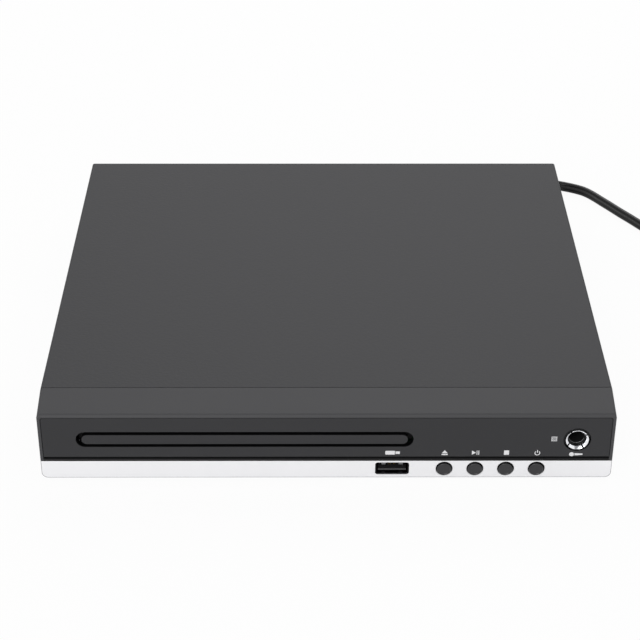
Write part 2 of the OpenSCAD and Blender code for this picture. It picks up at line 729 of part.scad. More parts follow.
module tray_door() color(abs_black) {
    along_y(y_nose + 0.2, door_t) translate([tray_x, slot_z - 0.2]) stadium(tray_w + 0.5, door_h);
    for (x = [-50, -20, 20, 50])
        block(tray_x + x - 2, tray_x + x + 2, y_nose + door_t, tray_y, slot_z - 1.6, slot_z + 1.2);
}

// ---------- loader ----------

module loader_frame() color("#2b2b2d") difference() {
    union() {
        // Upper floor with two slide ribs
        block(tray_x - wall_x - wall_t, tray_x + wall_x + wall_t, frame_front, frame_end, floor_z, floor_z + floor_t);
        for (side = [-1, 1]) translate([tray_x + side * (tray_w / 2 - 1), 0, 0])
            block(-1, 1, frame_front, frame_end, floor_z, rail_z);
        // Side walls with hold-down lips
        for (side = [-1, 1]) translate([tray_x + side * (wall_x + wall_t / 2), 0, 0])
            block(-wall_t / 2, wall_t / 2, frame_front, frame_end, floor_z, wall_top);
        for (side = [-1, 1], y = [frame_front + 4, disc_y - 32, disc_y + 24, frame_end - 24])
            translate([tray_x + side * (wall_x - 0.7), y, tray_top + 0.4]) block(-1.3, 1.3, 0, 12, 0, 1.6);
        // Rear stop
        block(tray_x - wall_x, tray_x + wall_x, frame_end - 2, frame_end, floor_z, wall_top - 2);
        // Mounting bosses and the bridge's bosses
        for (side = [-1, 1], y = boss_y) {
            translate([tray_x + side * boss_x, y, tub_z]) cylinder(r = boss_r, h = floor_z + floor_t - tub_z);
            translate([tray_x + side * (boss_x - 2.5), 0, 0]) block(-1, 1, y - 2, y + 2, tub_z, floor_z + floor_t);
        }
        for (side = [-1, 1], y = [-13, 13]) translate([tray_x + side * boss_x, disc_y + y, 0]) {
            translate([0, 0, floor_z]) cylinder(r = boss_r, h = wall_top - floor_z);
            block(-side * 2.5 - 1, -side * 2.5 + 1, -2, 2, floor_z, wall_top - 1);
        }
        // Tub of the gear train
        block(tub_x0, tub_x1, frame_front + 1, cam_y + cam_t + 0.2, tub_z, tub_z + tub_t);
        block(tub_x0, tub_x0 + tub_t, frame_front + 1, cam_y - 1.4, tub_z, floor_z + 0.5);
        block(tub_x0, tub_x1, frame_front + 1, frame_front + 2.4, tub_z, floor_z + 0.5);
        block(tub_x1 - tub_t, tub_x1, frame_front + 1, cam_y - 1.4, tub_z, floor_z + 0.5);
        // Ears for the traverse's grommets
        for (side = [-1, 1]) translate([tray_x + side * (well_x + 1.2), hinge_y, 0]) {
            block(-1, 1, -grommet_r - 2, grommet_r + 2, hinge_z, floor_z + 0.5);
            rod_x(-1, 0, hinge_z, grommet_r + 2, 2);
        }
        // Guides in front of the cam slider
        for (x = [-2, 30]) block(tray_x + x, tray_x + x + 5, cam_y - 1.4, cam_y - 0.2, tub_z, floor_z);
    }
    // Well of the traverse and opening over the tub
    block(tray_x - well_x, tray_x + well_x, cam_y - 1.4, deck_end + 8, floor_z - 1, rail_z + 1);
    block(tub_x0 + tub_t, tub_x1 - tub_t, frame_front + 2.4, cam_y - 1, floor_z - 1, rail_z + 1);
    // The tub stops short of the front board
    block(front_board_x - 2.9, front_board_x + tray_w, frame_front, front_board_y + board_t + 1, tub_z - 1, floor_z);
    translate([load_motor_x, load_motor_y, tub_z - 1]) cylinder(r = load_motor_r + 0.05, h = 4);
    for (side = [-1, 1], y = boss_y) translate([tray_x + side * boss_x, y, tub_z - 1]) {
        cylinder(r = screw_r + 0.15, h = 30);
        translate([0, 0, tub_t + 1]) cylinder(r = 2.8, h = 30);
    }
    for (side = [-1, 1], y = [-13, 13]) translate([tray_x + side * boss_x, disc_y + y, wall_top - 7])
        cylinder(r = screw_r, h = 8);
    for (side = [-1, 1]) rod_x(tray_x + side * (well_x + 1.2) - 2, hinge_y, hinge_z, grommet_r, 4);
    // Lightening holes beside the well
    for (side = [-1, 1], y = [disc_y - 8, disc_y + 40])
        translate([tray_x + side * (well_x + 10), y, floor_z - 1]) linear_extrude(4) rotate(90) stadium(34, 11);
}

module gear_posts() {
    translate([tray_gear_x, tray_gear_y, tub_z + tub_t - 0.2])
        cylinder(r = gear_post_r, h = pinion_z + 2.2 - tub_z - tub_t);
    translate([pulley_x, pulley_y, tub_z + tub_t - 0.2])
        cylinder(r = pulley_post_r, h = pulley_z + pulley_t - tub_z - tub_t);
}

module loader_frame_with_posts() color("#2b2b2d") union() {
    loader_frame();
    gear_posts();
}

module tray_gear() color(nylon) translate([tray_gear_x, tray_gear_y, 0]) difference() {
    union() {
        translate([0, 0, train_z]) spur(tray_gear_n, train_m, train_t, train_angle);
        translate([0, 0, train_z]) cylinder(r = 5, h = pinion_z - train_z + 0.1);
        translate([0, 0, pinion_z]) spur(rack_pinion_n, rack_m, rack_roof_z - pinion_z - gap, 180);
    }
    translate([0, 0, train_z - 1]) cylinder(r = gear_post_r + fit, h = 30);
    translate([0, 0, train_z + 1.6]) difference() {
        cylinder(r = tray_gear_r - 2.4, h = 5);
        translate([0, 0, -1]) cylinder(r = 5, h = 10);
    }
}

module pulley_gear() color(nylon) translate([pulley_x, pulley_y, 0]) difference() {
    union() {
        translate([0, 0, train_z])
            spur(pulley_pinion_n, train_m, pulley_z - train_z + 0.1, train_angle + 180 + 180 / pulley_pinion_n);
        rotate_extrude() polygon([
            [0, pulley_z], [pulley_r + 1, pulley_z], [pulley_r + 1, pulley_z + 0.5], [pulley_r, belt_z],
            [pulley_r, belt_z + belt_t], [pulley_r + 1, pulley_z + pulley_t - 0.5],
            [pulley_r + 1, pulley_z + pulley_t], [0, pulley_z + pulley_t]
        ]);
    }
    translate([0, 0, train_z - 1]) cylinder(r = pulley_post_r + fit, h = 20);
    for (a = [0:60:300]) rotate(a) translate([7.3, 0, pulley_z - 1]) cylinder(r = 2.2, h = 6);
}

module motor_pulley() color(nylon) translate([load_motor_x, load_motor_y, 0]) {
    rotate_extrude() polygon([
        [0, pulley_z], [motor_pulley_r + 1, pulley_z], [motor_pulley_r + 1, pulley_z + 0.5], [motor_pulley_r, belt_z],
        [motor_pulley_r, belt_z + belt_t], [motor_pulley_r + 1, pulley_z + pulley_t - 0.5],
        [motor_pulley_r + 1, pulley_z + pulley_t], [0, pulley_z + pulley_t]
    ]);
    translate([0, 0, pulley_z - 4]) cylinder(r = 0.75, h = 4.2);
}

module belt_loop(grow) {
    hull() {
        translate([pulley_x, pulley_y]) circle(pulley_r + grow, $fn = 64);
        translate([load_motor_x, load_motor_y]) circle(motor_pulley_r + grow, $fn = 64);
    }
}

module drive_belt() color("#1a1a1a") translate([0, 0, belt_z]) linear_extrude(belt_t) difference() {
    belt_loop(0.12 + belt_t);
    belt_loop(0.12);
}

module loader_motor() color(steel) translate([load_motor_x, load_motor_y, 0]) difference() {
    union() {
        translate([0, 0, z_pan + 1]) cylinder(r = load_motor_r, h = load_motor_h);
        translate([0, 0, tub_z + tub_t]) cylinder(r = load_motor_r + 1, h = 0.8);
        translate([0, 0, z_pan + 1]) cylinder(r = 2.5, h = load_motor_h + 0.4);
    }
    translate([0, 0, pulley_z - 4.3]) cylinder(r = 0.75 + fit, h = 10);
}

// ---------- clamp ----------

module clamp_bridge() color(steel) translate([tray_x, disc_y, bridge_z]) difference() {
    union() {
        block(-boss_x - 3, boss_x + 3, -bridge_half, bridge_half, 0, bridge_t);
        for (side = [-1, 1]) translate([0, side * (bridge_half - bridge_t / 2), 0])
            block(-wall_x, wall_x, -bridge_t / 2, bridge_t / 2, 0, 3.2);
    }
    translate([0, 0, -1]) cylinder(r = bridge_hole_r, h = 4);
    for (x = [-boss_x, boss_x], y = [-13, 13]) translate([x, y, -1]) cylinder(r = screw_r + 0.15, h = 4);
    for (side = [-1, 1]) translate([side * 38, 0, -1]) linear_extrude(4) stadium(24, 14);
}

module clamper() color(nylon) translate([tray_x, disc_y, 0]) difference() {
    union() {
        translate([0, 0, clamper_z]) cylinder(r = clamper_r, h = bridge_z + bridge_t + 0.2 - clamper_z + 0.1);
        translate([0, 0, bridge_z + bridge_t + 0.2]) cylinder(r = clamper_dia / 2, h = 1.2);
    }
    translate([0, 0, clamper_z - 1]) cylinder(r = hub_dia / 2 + 0.8, h = 2.6);
    translate([0, 0, clamper_z + 2.2]) cylinder(r = 9, h = 10);
    translate([0, 0, clamper_z - 1]) difference() {
        cylinder(r = 12.4, h = 1.5);
        translate([0, 0, -1]) cylinder(r = 10.2, h = 4);
    }
}

module clamp_magnet() color("#55565a") translate([tray_x, disc_y, clamper_z + 2.2]) difference() {
    cylinder(r = 8.95, h = 1.9);
    translate([0, 0, -1]) cylinder(r = 4, h = 5);
}

// ---------- traverse ----------

module cam_slider() color(nylon) difference() {
    union() {
        block(tray_x - cam_half, tray_x + cam_half, cam_y, cam_y + cam_t, cam_z, cam_z + cam_h);
        block(tray_x - 4, tray_x + 4, cam_y - 1, cam_y + 0.5, cam_z + cam_h - 1.6, cam_z + cam_h);
        rod_post();
    }
    for (x = [-pin_x, pin_x]) translate([tray_x + x, cam_y - 1, pin_z]) cam_track();
}

module rod_post() {
    translate([tray_x, cam_y + cam_t / 2 - 0.5, cam_z + cam_h - 0.2]) cylinder(r = 1.4, h = 1.6);
}

// A slanted track with a short flat at both ends, from the raised pin at the origin
module cam_track() {
    rake = atan(cam_drop / cam_travel);
    run = norm([cam_travel, cam_drop]);
    rotate([-90, 0, 0]) {
        for (p = [[0, 0], [1.5, 0], [-cam_travel, cam_drop], [-cam_travel - 1.5, cam_drop]])
            translate([p[0], p[1], 0]) cylinder(r = cam_slot_r, h = cam_t + 2);
        rotate(-rake) translate([-run, -cam_slot_r, 0]) cube([run, 2 * cam_slot_r, cam_t + 2]);
        translate([0, -cam_slot_r, 0]) cube([1.5, 2 * cam_slot_r, cam_t + 2]);
        translate([-cam_travel - 1.5, cam_drop - cam_slot_r, 0]) cube([1.5, 2 * cam_slot_r, cam_t + 2]);
    }
}

module traverse_deck() color(steel) difference() {
    union() {
        block(tray_x - deck_w / 2, tray_x + deck_w / 2, deck_front, deck_end, deck_z, deck_top);
        for (side = [-1, 1]) translate([tray_x + side * (deck_w / 2 - deck_t / 2), 0, 0]) {
            block(-deck_t / 2, deck_t / 2, deck_front, deck_end, deck_z, deck_top + 1.6);
            block(-deck_t / 2, deck_t / 2, hinge_y - 4, deck_end, deck_z, hinge_z + hinge_r + 0.6);
        }
        block(tray_x - 26, tray_x + 26, deck_front, deck_front + deck_t, deck_z, pin_z + pin_r + 0.6);
        for (x = [-pin_x, pin_x]) rod_y(tray_x + x, cam_y - 0.4, pin_z, pin_r, deck_front + 0.5 - cam_y + 0.4);
        for (side = [-1, 1]) rod_x(tray_x + (side > 0 ? deck_w / 2 - 0.5 : -well_x - 2.4), hinge_y, hinge_z,
            hinge_r, well_x + 2.9 - deck_w / 2);
        for (x = [rod_left, rod_right], y = [rod_front, rod_front + rod_l - 4])
            block(tray_x + x - 2.4, tray_x + x + 2.4, y, y + 4, deck_top - 0.2, rod_z + rod_r + 0.8);
        translate([sled_gear_x, sled_gear_y, deck_z]) cylinder(r = 1, h = sled_big_z + sled_big_t + 0.6 - deck_z);
    }
    block(tray_x - window_x, tray_x + window_x, window_y, window_end, deck_z - 1, deck_top + 1);
    translate([tray_x, disc_y, deck_z - 1]) cylinder(r = 4, h = 4);
    translate([sled_gear_x, sled_motor_y, deck_z - 1]) cylinder(r = 2.05, h = 4);
    for (x = [rod_left, rod_right]) rod_y(tray_x + x, rod_front - 1, rod_z, rod_r + 0.02, rod_l + 2);
    translate([tray_x - 31, disc_y + 42, deck_z - 1]) linear_extrude(4) rotate(90) stadium(60, 6);
}

module deck_grommets() color("#1a1a1a") for (side = [-1, 1]) difference() {
    rod_x(tray_x + side * (well_x + 1.2) - 1, hinge_y, hinge_z, grommet_r - 0.02, 2);
    rod_x(tray_x + side * (well_x + 1.2) - 3, hinge_y, hinge_z, hinge_r + fit, 6);
}

module spindle_motor() color(steel) translate([tray_x, disc_y, 0]) difference() {
    union() {
        translate([0, 0, deck_z - spindle_h]) cylinder(r = spindle_motor_dia / 2, h = spindle_h);
        translate([0, 0, deck_z - 0.1]) cylinder(r = 3.95, h = deck_t + 0.8);
    }
    translate([0, 0, deck_z - spindle_h + 0.6]) cylinder(r = 1 + fit, h = 20);
}

module turntable() color(nylon) translate([tray_x, disc_y, 0]) difference() {
    union() {
        rotate_extrude() polygon([
            [0, deck_top + 1.2], [3.5, deck_top + 1.2], [4.5, disc_z - turntable_t - 0.6], [9, disc_z - turntable_t],
            [turntable_dia / 2, disc_z - turntable_t], [turntable_dia / 2, disc_z - 0.3], [hub_dia / 2 + 0.6, disc_z - 0.3],
            [hub_dia / 2, disc_z - 0.1], [hub_dia / 2, disc_z + 1], [hub_dia / 2 - 1.6, hub_top], [2.4, hub_top],
            [1.8, hub_top - 0.8], [0, hub_top - 0.8]
        ]);
        translate([0, 0, deck_z - spindle_h + 0.9]) cylinder(r = 1, h = spindle_h + 2);
    }
    for (a = [0:120:240]) rotate(a + 30) translate([hub_dia / 2 - 1, 0, disc_z + 0.2]) block(-1, 2, -1.6, 1.6, 0, 4);
}

module turntable_pad() color("#1a1a1a") translate([tray_x, disc_y, disc_z - 0.3]) difference() {
    cylinder(r = turntable_dia / 2 - 0.3, h = 0.3);
    translate([0, 0, -1]) cylinder(r = turntable_dia / 2 - 3.4, h = 3);
}

module guide_rods() color("#d4d6d9")
    for (x = [rod_left, rod_right]) rod_y(tray_x + x, rod_front, rod_z, rod_r, rod_l);

module pickup_sled() color("#8b8d91") translate([tray_x, sled_y, 0]) difference() {
    union() {
        block(rod_left - 3.4, rod_right + 3.6, -sled_half, sled_half, sled_arm_z, sled_top);
        block(1 - window_x, window_x - 1, -sled_half, sled_half, sled_z, sled_arm_z + 0.5);
        block(rod_right + 3, sled_rack_x - tray_x - 0.8, -sled_half, sled_half, sled_arm_z, sled_big_z - 0.3);
        translate([0, 0, sled_top - 0.5]) cylinder(r = 8, h = 1.9);
        translate([sled_rack_x - tray_x, sled_gear_y - sled_y, sled_arm_z + 0.1])
            linear_extrude(sled_big_z - 0.4 - sled_arm_z) polygon(rack_outline(-24, 3, sled_m, 1.6));
    }
    rod_y(rod_left, -sled_half - 1, rod_z, rod_r + fit, 2 * sled_half + 2);
    rod_y(rod_right, -sled_half - 1, rod_z, rod_r + 0.15, 2 * sled_half + 2);
    // The front is hollowed to come close to the spindle motor
    translate([0, -(sled_y - disc_y), sled_z - 1]) cylinder(r = spindle_motor_dia / 2 + 1.4, h = 20);
    // Pocket of the lens actuator, and the waist between the rod's two bushes
    block(-6.2, 6.2, -6.2, 6.2, sled_top + 0.4, sled_top + 4);
    block(rod_left - 5, rod_left + 4, -5, 5, sled_z, sled_top + 1);
    block(-11, 11, -1, 9, sled_z - 1, sled_z + 2.4);
}

module pickup_lens() color("#9fb4d8") translate([tray_x, sled_y, 0]) {
    difference() {
        translate([0, 0, sled_top + 0.4]) linear_extrude(1.6) round_rect(10.4, 11.6, 1);
        for (y = [-4.4, 4.4]) translate([0, y, sled_top]) block(-4, 4, -0.6, 0.6, 1.2, 4);
    }
    translate([0, 0, sled_top + 1.9]) cylinder(r = 3.2, h = 0.5);
    translate([0, 0, sled_top + 2.3]) intersection() {
        cylinder(r = 2.4, h = 2);
        translate([0, 0, -3.6]) sphere(r = 4.4);
    }
}

module sled_gear() color(nylon) translate([sled_gear_x, sled_gear_y, 0]) difference() {
    union() {
        translate([0, 0, deck_top + 0.3]) spur(sled_pinion_n, sled_m, sled_big_z - deck_top - 0.2, 180);
        translate([0, 0, sled_big_z]) spur(sled_gear_n, sled_m, sled_big_t, 90);
    }
    translate([0, 0, deck_top - 1]) cylinder(r = 1 + fit, h = 10);
}

module sled_motor() color(steel) translate([sled_gear_x, sled_motor_y, 0]) difference() {
    union() {
        translate([0, 0, deck_z - spindle_h]) cylinder(r = 6, h = spindle_h);
        translate([0, 0, deck_z - 0.1]) cylinder(r = 2, h = deck_t + 0.3);
    }
    translate([0, 0, deck_z - spindle_h + 0.8]) cylinder(r = 0.75 + fit, h = 20);
}

module sled_pinion() color("#b08d4a") translate([sled_gear_x, sled_motor_y, 0]) {
    translate([0, 0, deck_z - spindle_h + 1]) cylinder(r = 0.75, h = spindle_h + 3);
    translate([0, 0, deck_top + 0.8]) cylinder(r = 1.7, h = sled_big_z - deck_top - 0.8);
    translate([0, 0, sled_big_z - 0.1]) spur(sled_motor_n, sled_m, sled_big_t + 0.2, 90 + 180 / sled_motor_n);
}

// ---------- controls ----------

module push_button(i) color(abs_black) translate([button_x + i * button_pitch, 0, button_z]) {
    rotate([-90, 0, 0]) translate([0, 0, y_nose - button_proud]) rotate_extrude() polygon([
        [0, rim_h], [button_dia / 2 - 0.8, rim_h], [button_dia / 2 - 0.5, 0], [button_dia / 2 - 0.3, 0],
        [button_dia / 2, 0.3], [button_dia / 2, 6], [0, 6]
    ]);
    block(-button_dia / 2 - 1.4, button_dia / 2 + 1.4, y_inside + gap, y_inside + gap + 1, -2.4, 2.4);
    rod_y(0, y_nose + 4, 0, 1.8, stem_end - y_nose - 4);
}

module button_eject() push_button(0);
module button_play() push_button(1);
module button_stop() push_button(2);
module button_power() push_button(3);

module front_board() color(pcb_green) difference() {
    along_y(front_board_y, board_t) polygon([
        [front_board_x, z_pan + 1], [jack_x + 8, z_pan + 1], [jack_x + 8, jack_z - 9], [jack_x - 8.4, jack_z - 9],
        [jack_x - 8.4, z_nose - 2], [board_step_x, z_nose - 2], [board_step_x, floor_z - 0.7],
        [front_board_x, floor_z - 0.7]
    ]);
    for (x = board_boss_x) rod_y(x, front_board_y - 1, front_boss_z, screw_r + 0.15, 4);
}

module key_switches() color("#26262a") for (i = [0:3]) translate([button_x + i * button_pitch, 0, button_z]) {
    block(-3, 3, front_board_y - switch_d, front_board_y, -3, 3);
    rod_y(0, front_board_y - switch_d - plunger_out, 0, 1.7, plunger_out + 0.1);
}

module remote_receiver() color("#1d1d20") translate([eye_x - 1.8, 0, eye_z]) {
    block(-2.8, 2.8, front_board_y - 4, front_board_y, -3.4, 3.4);
    translate([0, front_board_y - 4, 0]) intersection() {
        sphere(r = 2.5);
        block(-3, 3, -3, 0.1, -3, 3);
    }
}

module usb_shell() color(steel) translate([usb_x, 0, usb_z]) difference() {
    along_y(y_nose + 0.5, front_board_y - y_nose - 0.5) round_rect(usb_w, usb_h, 0.8);
    along_y(y_nose, front_board_y - y_nose - 2) round_rect(usb_w - 2 * usb_t, usb_h - 2 * usb_t, 0.5);
}

// The socket hangs below its board's middle, so its tongue is low and its contacts face up
module usb_tongue() color("#1d1d20") translate([usb_x, 0, usb_z]) {
    along_x(-5.55, 11.1) polygon([
        [y_nose + tongue_in, tongue_z], [front_board_y - 2, tongue_z], [front_board_y - 2, tongue_z + tongue_t],
        [y_nose + tongue_in + 0.35, tongue_z + tongue_t], [y_nose + tongue_in, tongue_z + tongue_t - 0.35]
    ]);
    along_y(front_board_y - 4.5, 2.5) round_rect(usb_w - 2 * usb_t, usb_h - 2 * usb_t, 0.5);
}

module jack_body() color("#1d1d20") difference() {
    union() {
        translate([jack_x, 0, jack_z]) along_y(y_inside, 28) round_rect(15, 15, 1);
        rod_y(jack_x, y_nose + 0.5, jack_z, bushing_r, y_inside - y_nose);
    }
    rod_y(jack_x, y_nose, jack_z, jack_bore_r, 29);
}

module jack_nut() color("#d9dadd") difference() {
    translate([jack_x, 0, jack_z]) rotate([-90, 0, 0]) translate([0, 0, y_nose - nut_proud]) rotate_extrude() polygon([
        [nut_r - 0.3, 0], [nut_r - 0.1, 0], [nut_r, 0.12], [nut_r, 0.3], [nut_r - 0.3, nut_proud + 0.1],
        [nut_r - 0.3, nut_proud + plate_t], [bushing_r + 0.05, nut_proud + plate_t],
        [bushing_r + 0.05, nut_proud + 0.5], [jack_bore_r + 0.15, nut_proud + 0.5],
        [jack_bore_r + 0.15, nut_proud + 0.4]
    ]);
    for (a = [-35, -125]) translate([jack_x, y_nose - nut_proud, jack_z]) rotate([0, a, 0])
        block(-6, 6, -1, 0.5, -0.35, 0.35);
}

// ---------- boards and sockets ----------

module main_board() color(pcb_green) difference() {
    block(main_x0, main_x1, main_y0, main_y1, board_z, board_top);
    for (i = [0:3])
        translate([board_posts[i][0], board_posts[i][1], board_z - 1]) cylinder(r = screw_r + 0.15, h = 4);
}

module main_chips() color("#1d1d20") {
    block(main_x0 + 36, main_x0 + 52, main_y0 + 4, main_y0 + 20, board_top, board_top + 1.4);
    block(main_x0 + 58, main_x0 + 80, main_y0 + 6, main_y0 + 16, board_top, board_top + 1.2);
    block(main_x0 + 12, main_x0 + 28, main_y0 + 6, main_y0 + 15, board_top, board_top + 1.8);
    block(main_x0 + 60, main_x0 + 66, main_y0 + 22, main_y0 + 27, board_top, board_top + 1.2);
    block(main_x1 - 5, main_x1 - 0.4, main_y0 + 11, main_y0 + 19.5, board_top, board_top + 3);
}

module av_housings() color("#232326") for (i = [0:2]) translate([av_x + i * av_pitch, 0, av_z]) difference() {
    union() {
        block(-5.2, 5.2, panel_y - 12, panel_y - 1, board_top - av_z, 5.4);
        rod_y(0, panel_y - 2, 0, sleeve_r - 0.7, y_rear + sleeve_out - 1 - panel_y + 2);
    }
    rod_y(0, y_rear + sleeve_out - 10, 0, av_bore_r, 10);
}

module av_sleeves() color("#d9dadd") for (i = [0:2]) translate([av_x + i * av_pitch, 0, av_z]) difference() {
    rod_y(0, panel_y + pan_t, 0, sleeve_r, y_rear + sleeve_out - panel_y - pan_t);
    rod_y(0, panel_y - 2, 0, sleeve_r - 0.7, 30);
}

module hdmi_shell() color("#c9cbcf") translate([hdmi_x, 0, hdmi_z]) {
    difference() {
        along_y(panel_y - 10, y_rear + 0.4 - panel_y + 10) round_rect(15, 5.6, 0.6);
        along_y(panel_y - 8, 20) round_rect(14.2, 4.8, 0.4);
    }
    block(-6.2, 6.2, panel_y - 8.5, y_rear - 1.2, 0.2, 1.1);
}

module power_board() color("#9c7a3c") difference() {
    block(power_x0, power_x1, power_y0, power_y1, board_z, board_top);
    for (i = [4:7])
        translate([board_posts[i][0], board_posts[i][1], board_z - 1]) cylinder(r = screw_r + 0.15, h = 4);
}

module transformer() color("#d8b23c") translate([power_x0 + 24, power_y0 + 44, board_top]) {
    block(-11, 11, -9, 9, 0, 3);
    block(-11, 11, -9, -4, 0, 17);
    block(-11, 11, 4, 9, 0, 17);
    block(-11, 11, -9, 9, 14, 17);
    translate([0, 0, 2.9]) linear_extrude(11.2) round_rect(17, 17, 4);
}

module capacitors() color("#2a3550") {
    translate([power_x0 + 24, power_y0 + 72, board_top]) cylinder(r = 8, h = 20);
    for (p = [[8, 12, 5, 12], [22, 14, 5, 12], [36, 12, 4, 11], [48, 20, 4, 11]])
        translate([power_x0 + p[0], power_y0 + p[1], board_top]) cylinder(r = p[2], h = p[3]);
    translate([power_x0 + 46, power_y0 + 70, board_top]) block(-4, 4, -9, 9, 0, 14);
}

module heatsink() color("#c3c6ca") translate([power_x0 + 48, power_y0 + 42, board_top]) {
    block(-1.2, 1.2, -13, 13, 0, 20);
    for (i = [-3:3]) block(-1, 5, i * 4 - 0.6, i * 4 + 0.6, 0, 20);
}

// A flat cable from the front board, along the pan and up to its connector on the main board
module ribbon_cable() color("#e4e4e0") {
    w = 6.5;
    t = 0.3;
    x0 = tray_x + boss_x + boss_r + 0.6;
    y0 = front_board_y + board_t;
    y1 = main_y0 + 12;
    plug_z = board_top + 3;
    block(x0, x0 + w, y0, y1 + w, z_pan, z_pan + t);
    block(main_x1 + t, x0 + w, y1, y1 + w, z_pan, z_pan + t);
    block(x0, x0 + w, y0, y0 + t, z_pan, z_pan + 8);
    block(main_x1 + t, main_x1 + 2 * t, y1, y1 + w, z_pan, plug_z + t);
    block(main_x1 - 4, main_x1 + 2 * t, y1, y1 + w, plug_z, plug_z + t);
}

// ---------- power cord ----------

module strain_relief() color("#161617") {
    along_y(panel_y - 5, 5) translate([cord_x, cord_z]) round_rect(12, 10, 2);
    along_y(panel_y - 0.1, y_rear - panel_y + 0.2) translate([cord_x, cord_z]) round_rect(9.2, 7.2, 0.9);
    translate([cord_x, y_rear, cord_z]) rotate([-90, 0, 0]) {
        cylinder(r = 5.4, h = 1.6);
        cylinder(r1 = 4.6, r2 = cord_r + 0.4, h = relief_out);
    }
}

function unit(v) = v / norm(v);
function ring(p, dir, r, n) =
    let (side = unit(cross(dir, [0, 0, 1])), up = cross(side, dir))
    [for (i = [0:n - 1]) p + r * (cos(360 * i / n) * side + sin(360 * i / n) * up)];

module power_cord() color("#161617") {
    n = 8;
    last = len(cord_route) - 1;
    dirs = [for (i = [0:last]) unit(cord_route[min(i + 1, last)] - cord_route[max(i - 1, 0)])];
    points = [for (i = [0:last], q = ring(cord_route[i], i == 0 ? [0, 1, 0] : dirs[i], cord_r, n)) q];
    sides = [for (i = [0:last - 1], k = [0:n - 1])
        [i * n + k, i * n + (k + 1) % n, (i + 1) * n + (k + 1) % n, (i + 1) * n + k]];
    caps = [[for (k = [n - 1:-1:0]) k], [for (k = [0:n - 1]) last * n + k]];
    polyhedron(points, concat(sides, caps), convexity = 6);
}

module cord_coil() color("#161617") translate([coil_x, coil_y, 0]) rotate_extrude()
    translate([coil_mid_r, coil_h / 2]) round_rect(coil_band, coil_h, 2.6);

plug_x = coil_x + 24;
plug_y = coil_y - coil_r - cord_r - 0.1;
plug_z = 6.5;
module plug_body() color("#161617") {
    translate([plug_x, plug_y, plug_z]) rotate([0, 90, 0]) {
        linear_extrude(24) round_rect(2 * plug_z, 18, 4);
        translate([0, 0, -24]) cylinder(r1 = cord_r, r2 = 4.4, h = 25);
    }
}

module plug_blades() color("#c9b27a") for (y = [-6.35, 6.35])
    translate([plug_x + 24, plug_y + y, plug_z]) block(0, 17, -0.75, 0.75, -3.15, 3.15);

top_cover();
base_pan();
rear_panel();
front_bezel();
face_plate();
lower_strip();
remote_window();
feet();
cover_screws();
inner_screws();
tray_with_rack();  // disc_tray
tray_door();
loader_frame_with_posts();  // loader_frame
tray_gear();
pulley_gear();
motor_pulley();
drive_belt();
loader_motor();
clamp_bridge();
clamper();
clamp_magnet();
cam_slider();
traverse_deck();
deck_grommets();
spindle_motor();
turntable();
turntable_pad();
guide_rods();
pickup_sled();
pickup_lens();
sled_gear();
sled_motor();
sled_pinion();
button_eject();
button_play();
button_stop();
button_power();
front_board();
key_switches();
remote_receiver();
usb_shell();
usb_tongue();
jack_body();
jack_nut();
main_board();
main_chips();
av_housings();
av_sleeves();
hdmi_shell();
power_board();
transformer();
capacitors();
heatsink();
ribbon_cable();
strain_relief();
power_cord();
cord_coil();
plug_body();
plug_blades();
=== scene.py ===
# %% [markdown]
# # A slim disc player
# The CAD model gives every rigid piece, its place and its joints. This script dresses it: it sets up a
# camera and a plain studio, lays the mains cord, gives each part the finish of its real material, and adds
# the small pieces that a CAD model leaves out, such as printed marks and screw recesses.

# %% Load the frame
import math
from collections import namedtuple

import bmesh
import bpy
from mathutils import Matrix, Vector


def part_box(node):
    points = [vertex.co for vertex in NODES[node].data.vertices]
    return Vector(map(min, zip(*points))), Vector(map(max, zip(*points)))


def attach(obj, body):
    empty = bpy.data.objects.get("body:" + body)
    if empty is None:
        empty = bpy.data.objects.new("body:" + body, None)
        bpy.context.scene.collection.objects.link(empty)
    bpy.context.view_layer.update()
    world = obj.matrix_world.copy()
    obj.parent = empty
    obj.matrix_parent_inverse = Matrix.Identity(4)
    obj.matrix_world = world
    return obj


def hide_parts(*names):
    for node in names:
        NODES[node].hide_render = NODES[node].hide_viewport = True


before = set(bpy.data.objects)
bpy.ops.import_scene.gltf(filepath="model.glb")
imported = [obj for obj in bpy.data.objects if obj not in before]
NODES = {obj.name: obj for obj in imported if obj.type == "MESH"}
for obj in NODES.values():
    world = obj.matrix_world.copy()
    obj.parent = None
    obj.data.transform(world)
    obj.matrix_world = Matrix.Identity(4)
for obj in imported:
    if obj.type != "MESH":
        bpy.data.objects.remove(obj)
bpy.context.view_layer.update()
MM = 0.001


def middle(node):
    """The centre of a CAD node's box, in metres."""
    low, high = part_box(node)
    return (Vector(low) + Vector(high)) / 2


def new_object(name, data):
    """An object that holds this data, linked into the scene."""
    made = bpy.data.objects.new(name, data)
    bpy.context.scene.collection.objects.link(made)
    return made


# %% [markdown]
# ## The camera
# The player is seen from a little above its front with a long lens, so its sides converge only slightly.
# A real camera is described by where it stands, how far it tilts down, how far it is turned and rolled,
# and its focal length. Writing these five numbers keeps the view easy to change.

# %% Camera
CAMERA_EYE = Vector((-5.5, -662.75, 423.3)) * MM
CAMERA_PITCH = math.radians(31.99)
CAMERA_YAW = math.radians(0.29)
CAMERA_ROLL = math.radians(0.12)
CAMERA_LENS = 98.44


def make_camera():
    """A camera at its eye, turned to the right, tilted down and rolled."""
    data = bpy.data.cameras.new("camera")
    data.lens, data.sensor_width = CAMERA_LENS, 36
    data.clip_start, data.clip_end = 0.01, 20
    camera = new_object("camera", data)
    place = Matrix.Translation(CAMERA_EYE)
    for angle, axis in ((-CAMERA_YAW, "Z"), (math.pi / 2 - CAMERA_PITCH, "X"), (CAMERA_ROLL, "Z")):
        place = place @ Matrix.Rotation(angle, 4, axis)
    camera.matrix_world = place
    bpy.context.scene.camera = camera


make_camera()
print("camera stands", round(CAMERA_EYE.length, 3), "m from the player")

